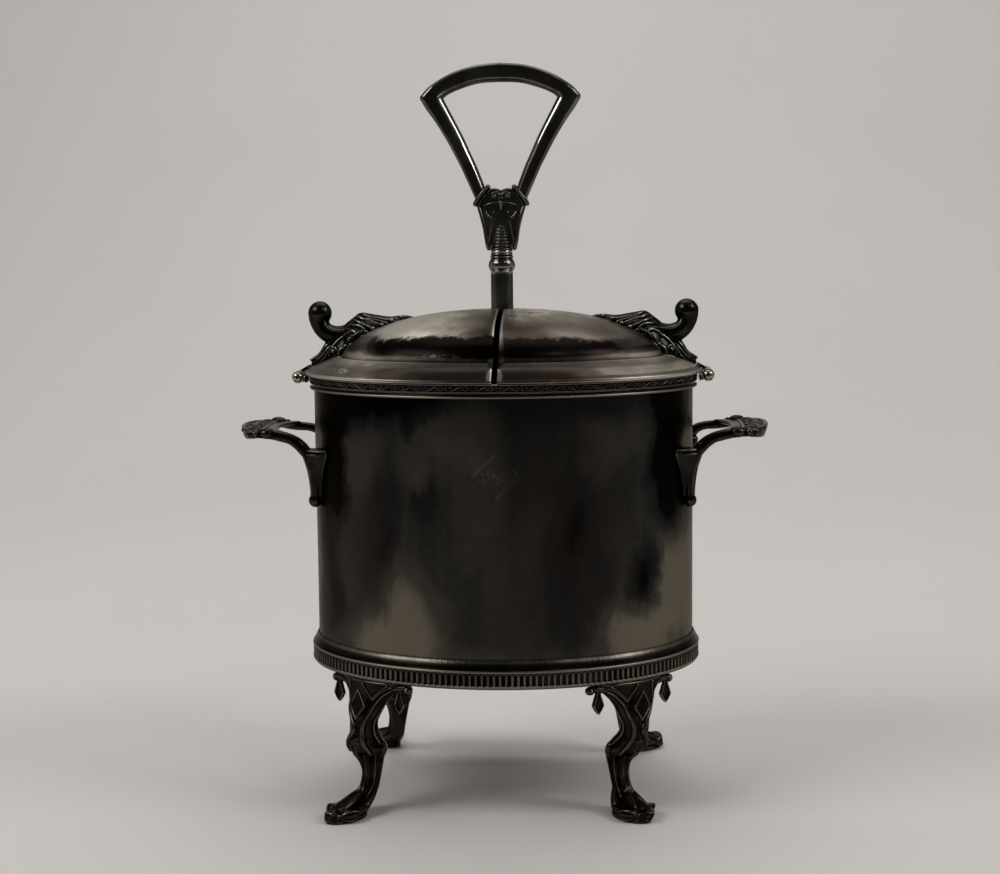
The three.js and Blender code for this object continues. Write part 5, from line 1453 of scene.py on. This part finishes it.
def make_stage():
    prof = [(-3.2, 0.0), (0.9, 0.0)]
    for k in np.linspace(0, 90, 25)[1:]:
        prof.append((0.9 + 0.9 * math.sin(math.radians(k)), 0.9 - 0.9 * math.cos(math.radians(k))))
    prof += [(1.8, 3.2)]
    xs = np.linspace(-3.4, 3.4, 9)
    v = arr([[x, y, z] for y, z in prof for x in xs])
    f = grid_faces(len(prof), len(xs), False, False)[:, ::-1]
    me = bpy.data.meshes.new("stage")
    me.from_pydata(v.tolist(), [], f.tolist())
    me.shade_smooth()
    me.materials.append(stage_material())
    ob = bpy.data.objects.new("stage", me)
    bpy.context.scene.collection.objects.link(ob)


def area(name, loc, target, w, h, watts, colour=(1, 1, 1)):
    d = bpy.data.lights.new(name, "AREA")
    d.shape = "RECTANGLE"
    d.size, d.size_y, d.energy, d.color = w, h, watts, colour
    o = bpy.data.objects.new(name, d)
    o.location = loc
    o.rotation_euler = (Vector(target) - Vector(loc)).to_track_quat("-Z", "Y").to_euler()
    bpy.context.scene.collection.objects.link(o)
    return o


make_stage()
area("key_left", (-1.15, -0.55, 1.25), (0, 0, 0.1), 0.7, 0.7, 8.8, (1.0, 0.985, 0.97))
area("fill_right", (1.25, -0.35, 1.15), (0, 0, 0.1), 0.6, 0.6, 7.2, (1.0, 0.985, 0.975))
area("spark_left", (-0.75, -0.80, 0.95), (0, 0, 0.15), 0.15, 0.15, 1.1, (1.0, 0.99, 0.98))
area("spark_right", (0.55, -0.70, 1.05), (0, 0, 0.15), 0.13, 0.13, 0.6, (1.0, 0.99, 0.98))
area("backdrop", (0.0, 1.0, 1.75), (0, 1.75, 0.75), 2.2, 0.5, 9.8, (1.0, 0.99, 0.985))
area("top", (0.0, 0.55, 1.9), (0, 0.3, 0), 1.6, 1.2, 9.0, (1.0, 0.99, 0.985))

world = bpy.data.worlds.new("studio")
bpy.context.scene.world = world
world.use_nodes = True
wt = world.node_tree
wt.nodes.clear()
wo = wt.nodes.new("ShaderNodeOutputWorld")
wb = wt.nodes.new("ShaderNodeBackground")
tc = wt.nodes.new("ShaderNodeTexCoord")
sx = wt.nodes.new("ShaderNodeSeparateXYZ")
mr = wt.nodes.new("ShaderNodeMapRange")
mr.interpolation_type = "SMOOTHSTEP"
mr.inputs["From Min"].default_value = -0.75
mr.inputs["From Max"].default_value = 0.45
mr.inputs["To Min"].default_value = 0.05
mr.inputs["To Max"].default_value = 0.36
wt.links.new(tc.outputs["Generated"], sx.inputs[0])
wt.links.new(sx.outputs[1], mr.inputs["Value"])
wt.links.new(mr.outputs["Result"], wb.inputs["Strength"])
wb.inputs["Color"].default_value = (1.0, 0.985, 0.965, 1)
wt.links.new(wb.outputs[0], wo.inputs[0])

cam = bpy.data.cameras.new("camera")
cam.sensor_fit = "HORIZONTAL"
cam.sensor_width = 36.0
cam.lens = 64.8
cam.dof.use_dof = False
cam.clip_start, cam.clip_end = 0.05, 50
co = bpy.data.objects.new("camera", cam)
bpy.context.scene.collection.objects.link(co)
az, pitch, roll = math.radians(3.27), math.radians(6.40), math.radians(-0.574)
fwd = Vector((-math.sin(az) * math.cos(pitch), math.cos(az) * math.cos(pitch), -math.sin(pitch)))
right = Vector((math.cos(az), math.sin(az), 0))
up = right.cross(fwd)
r2 = math.cos(roll) * right + math.sin(roll) * up
u2 = -math.sin(roll) * right + math.cos(roll) * up
m3 = Matrix((r2, u2, -fwd)).transposed()
co.matrix_world = Matrix.Translation(Vector((42.02, -761.94, 236.0)) * MM) @ m3.to_4x4()
bpy.context.scene.camera = co
bpy.context.scene.view_settings.view_transform = "Standard"
bpy.context.scene.view_settings.look = "None"
bpy.context.scene.view_settings.exposure = 0.0
bpy.context.scene.view_settings.gamma = 1.0
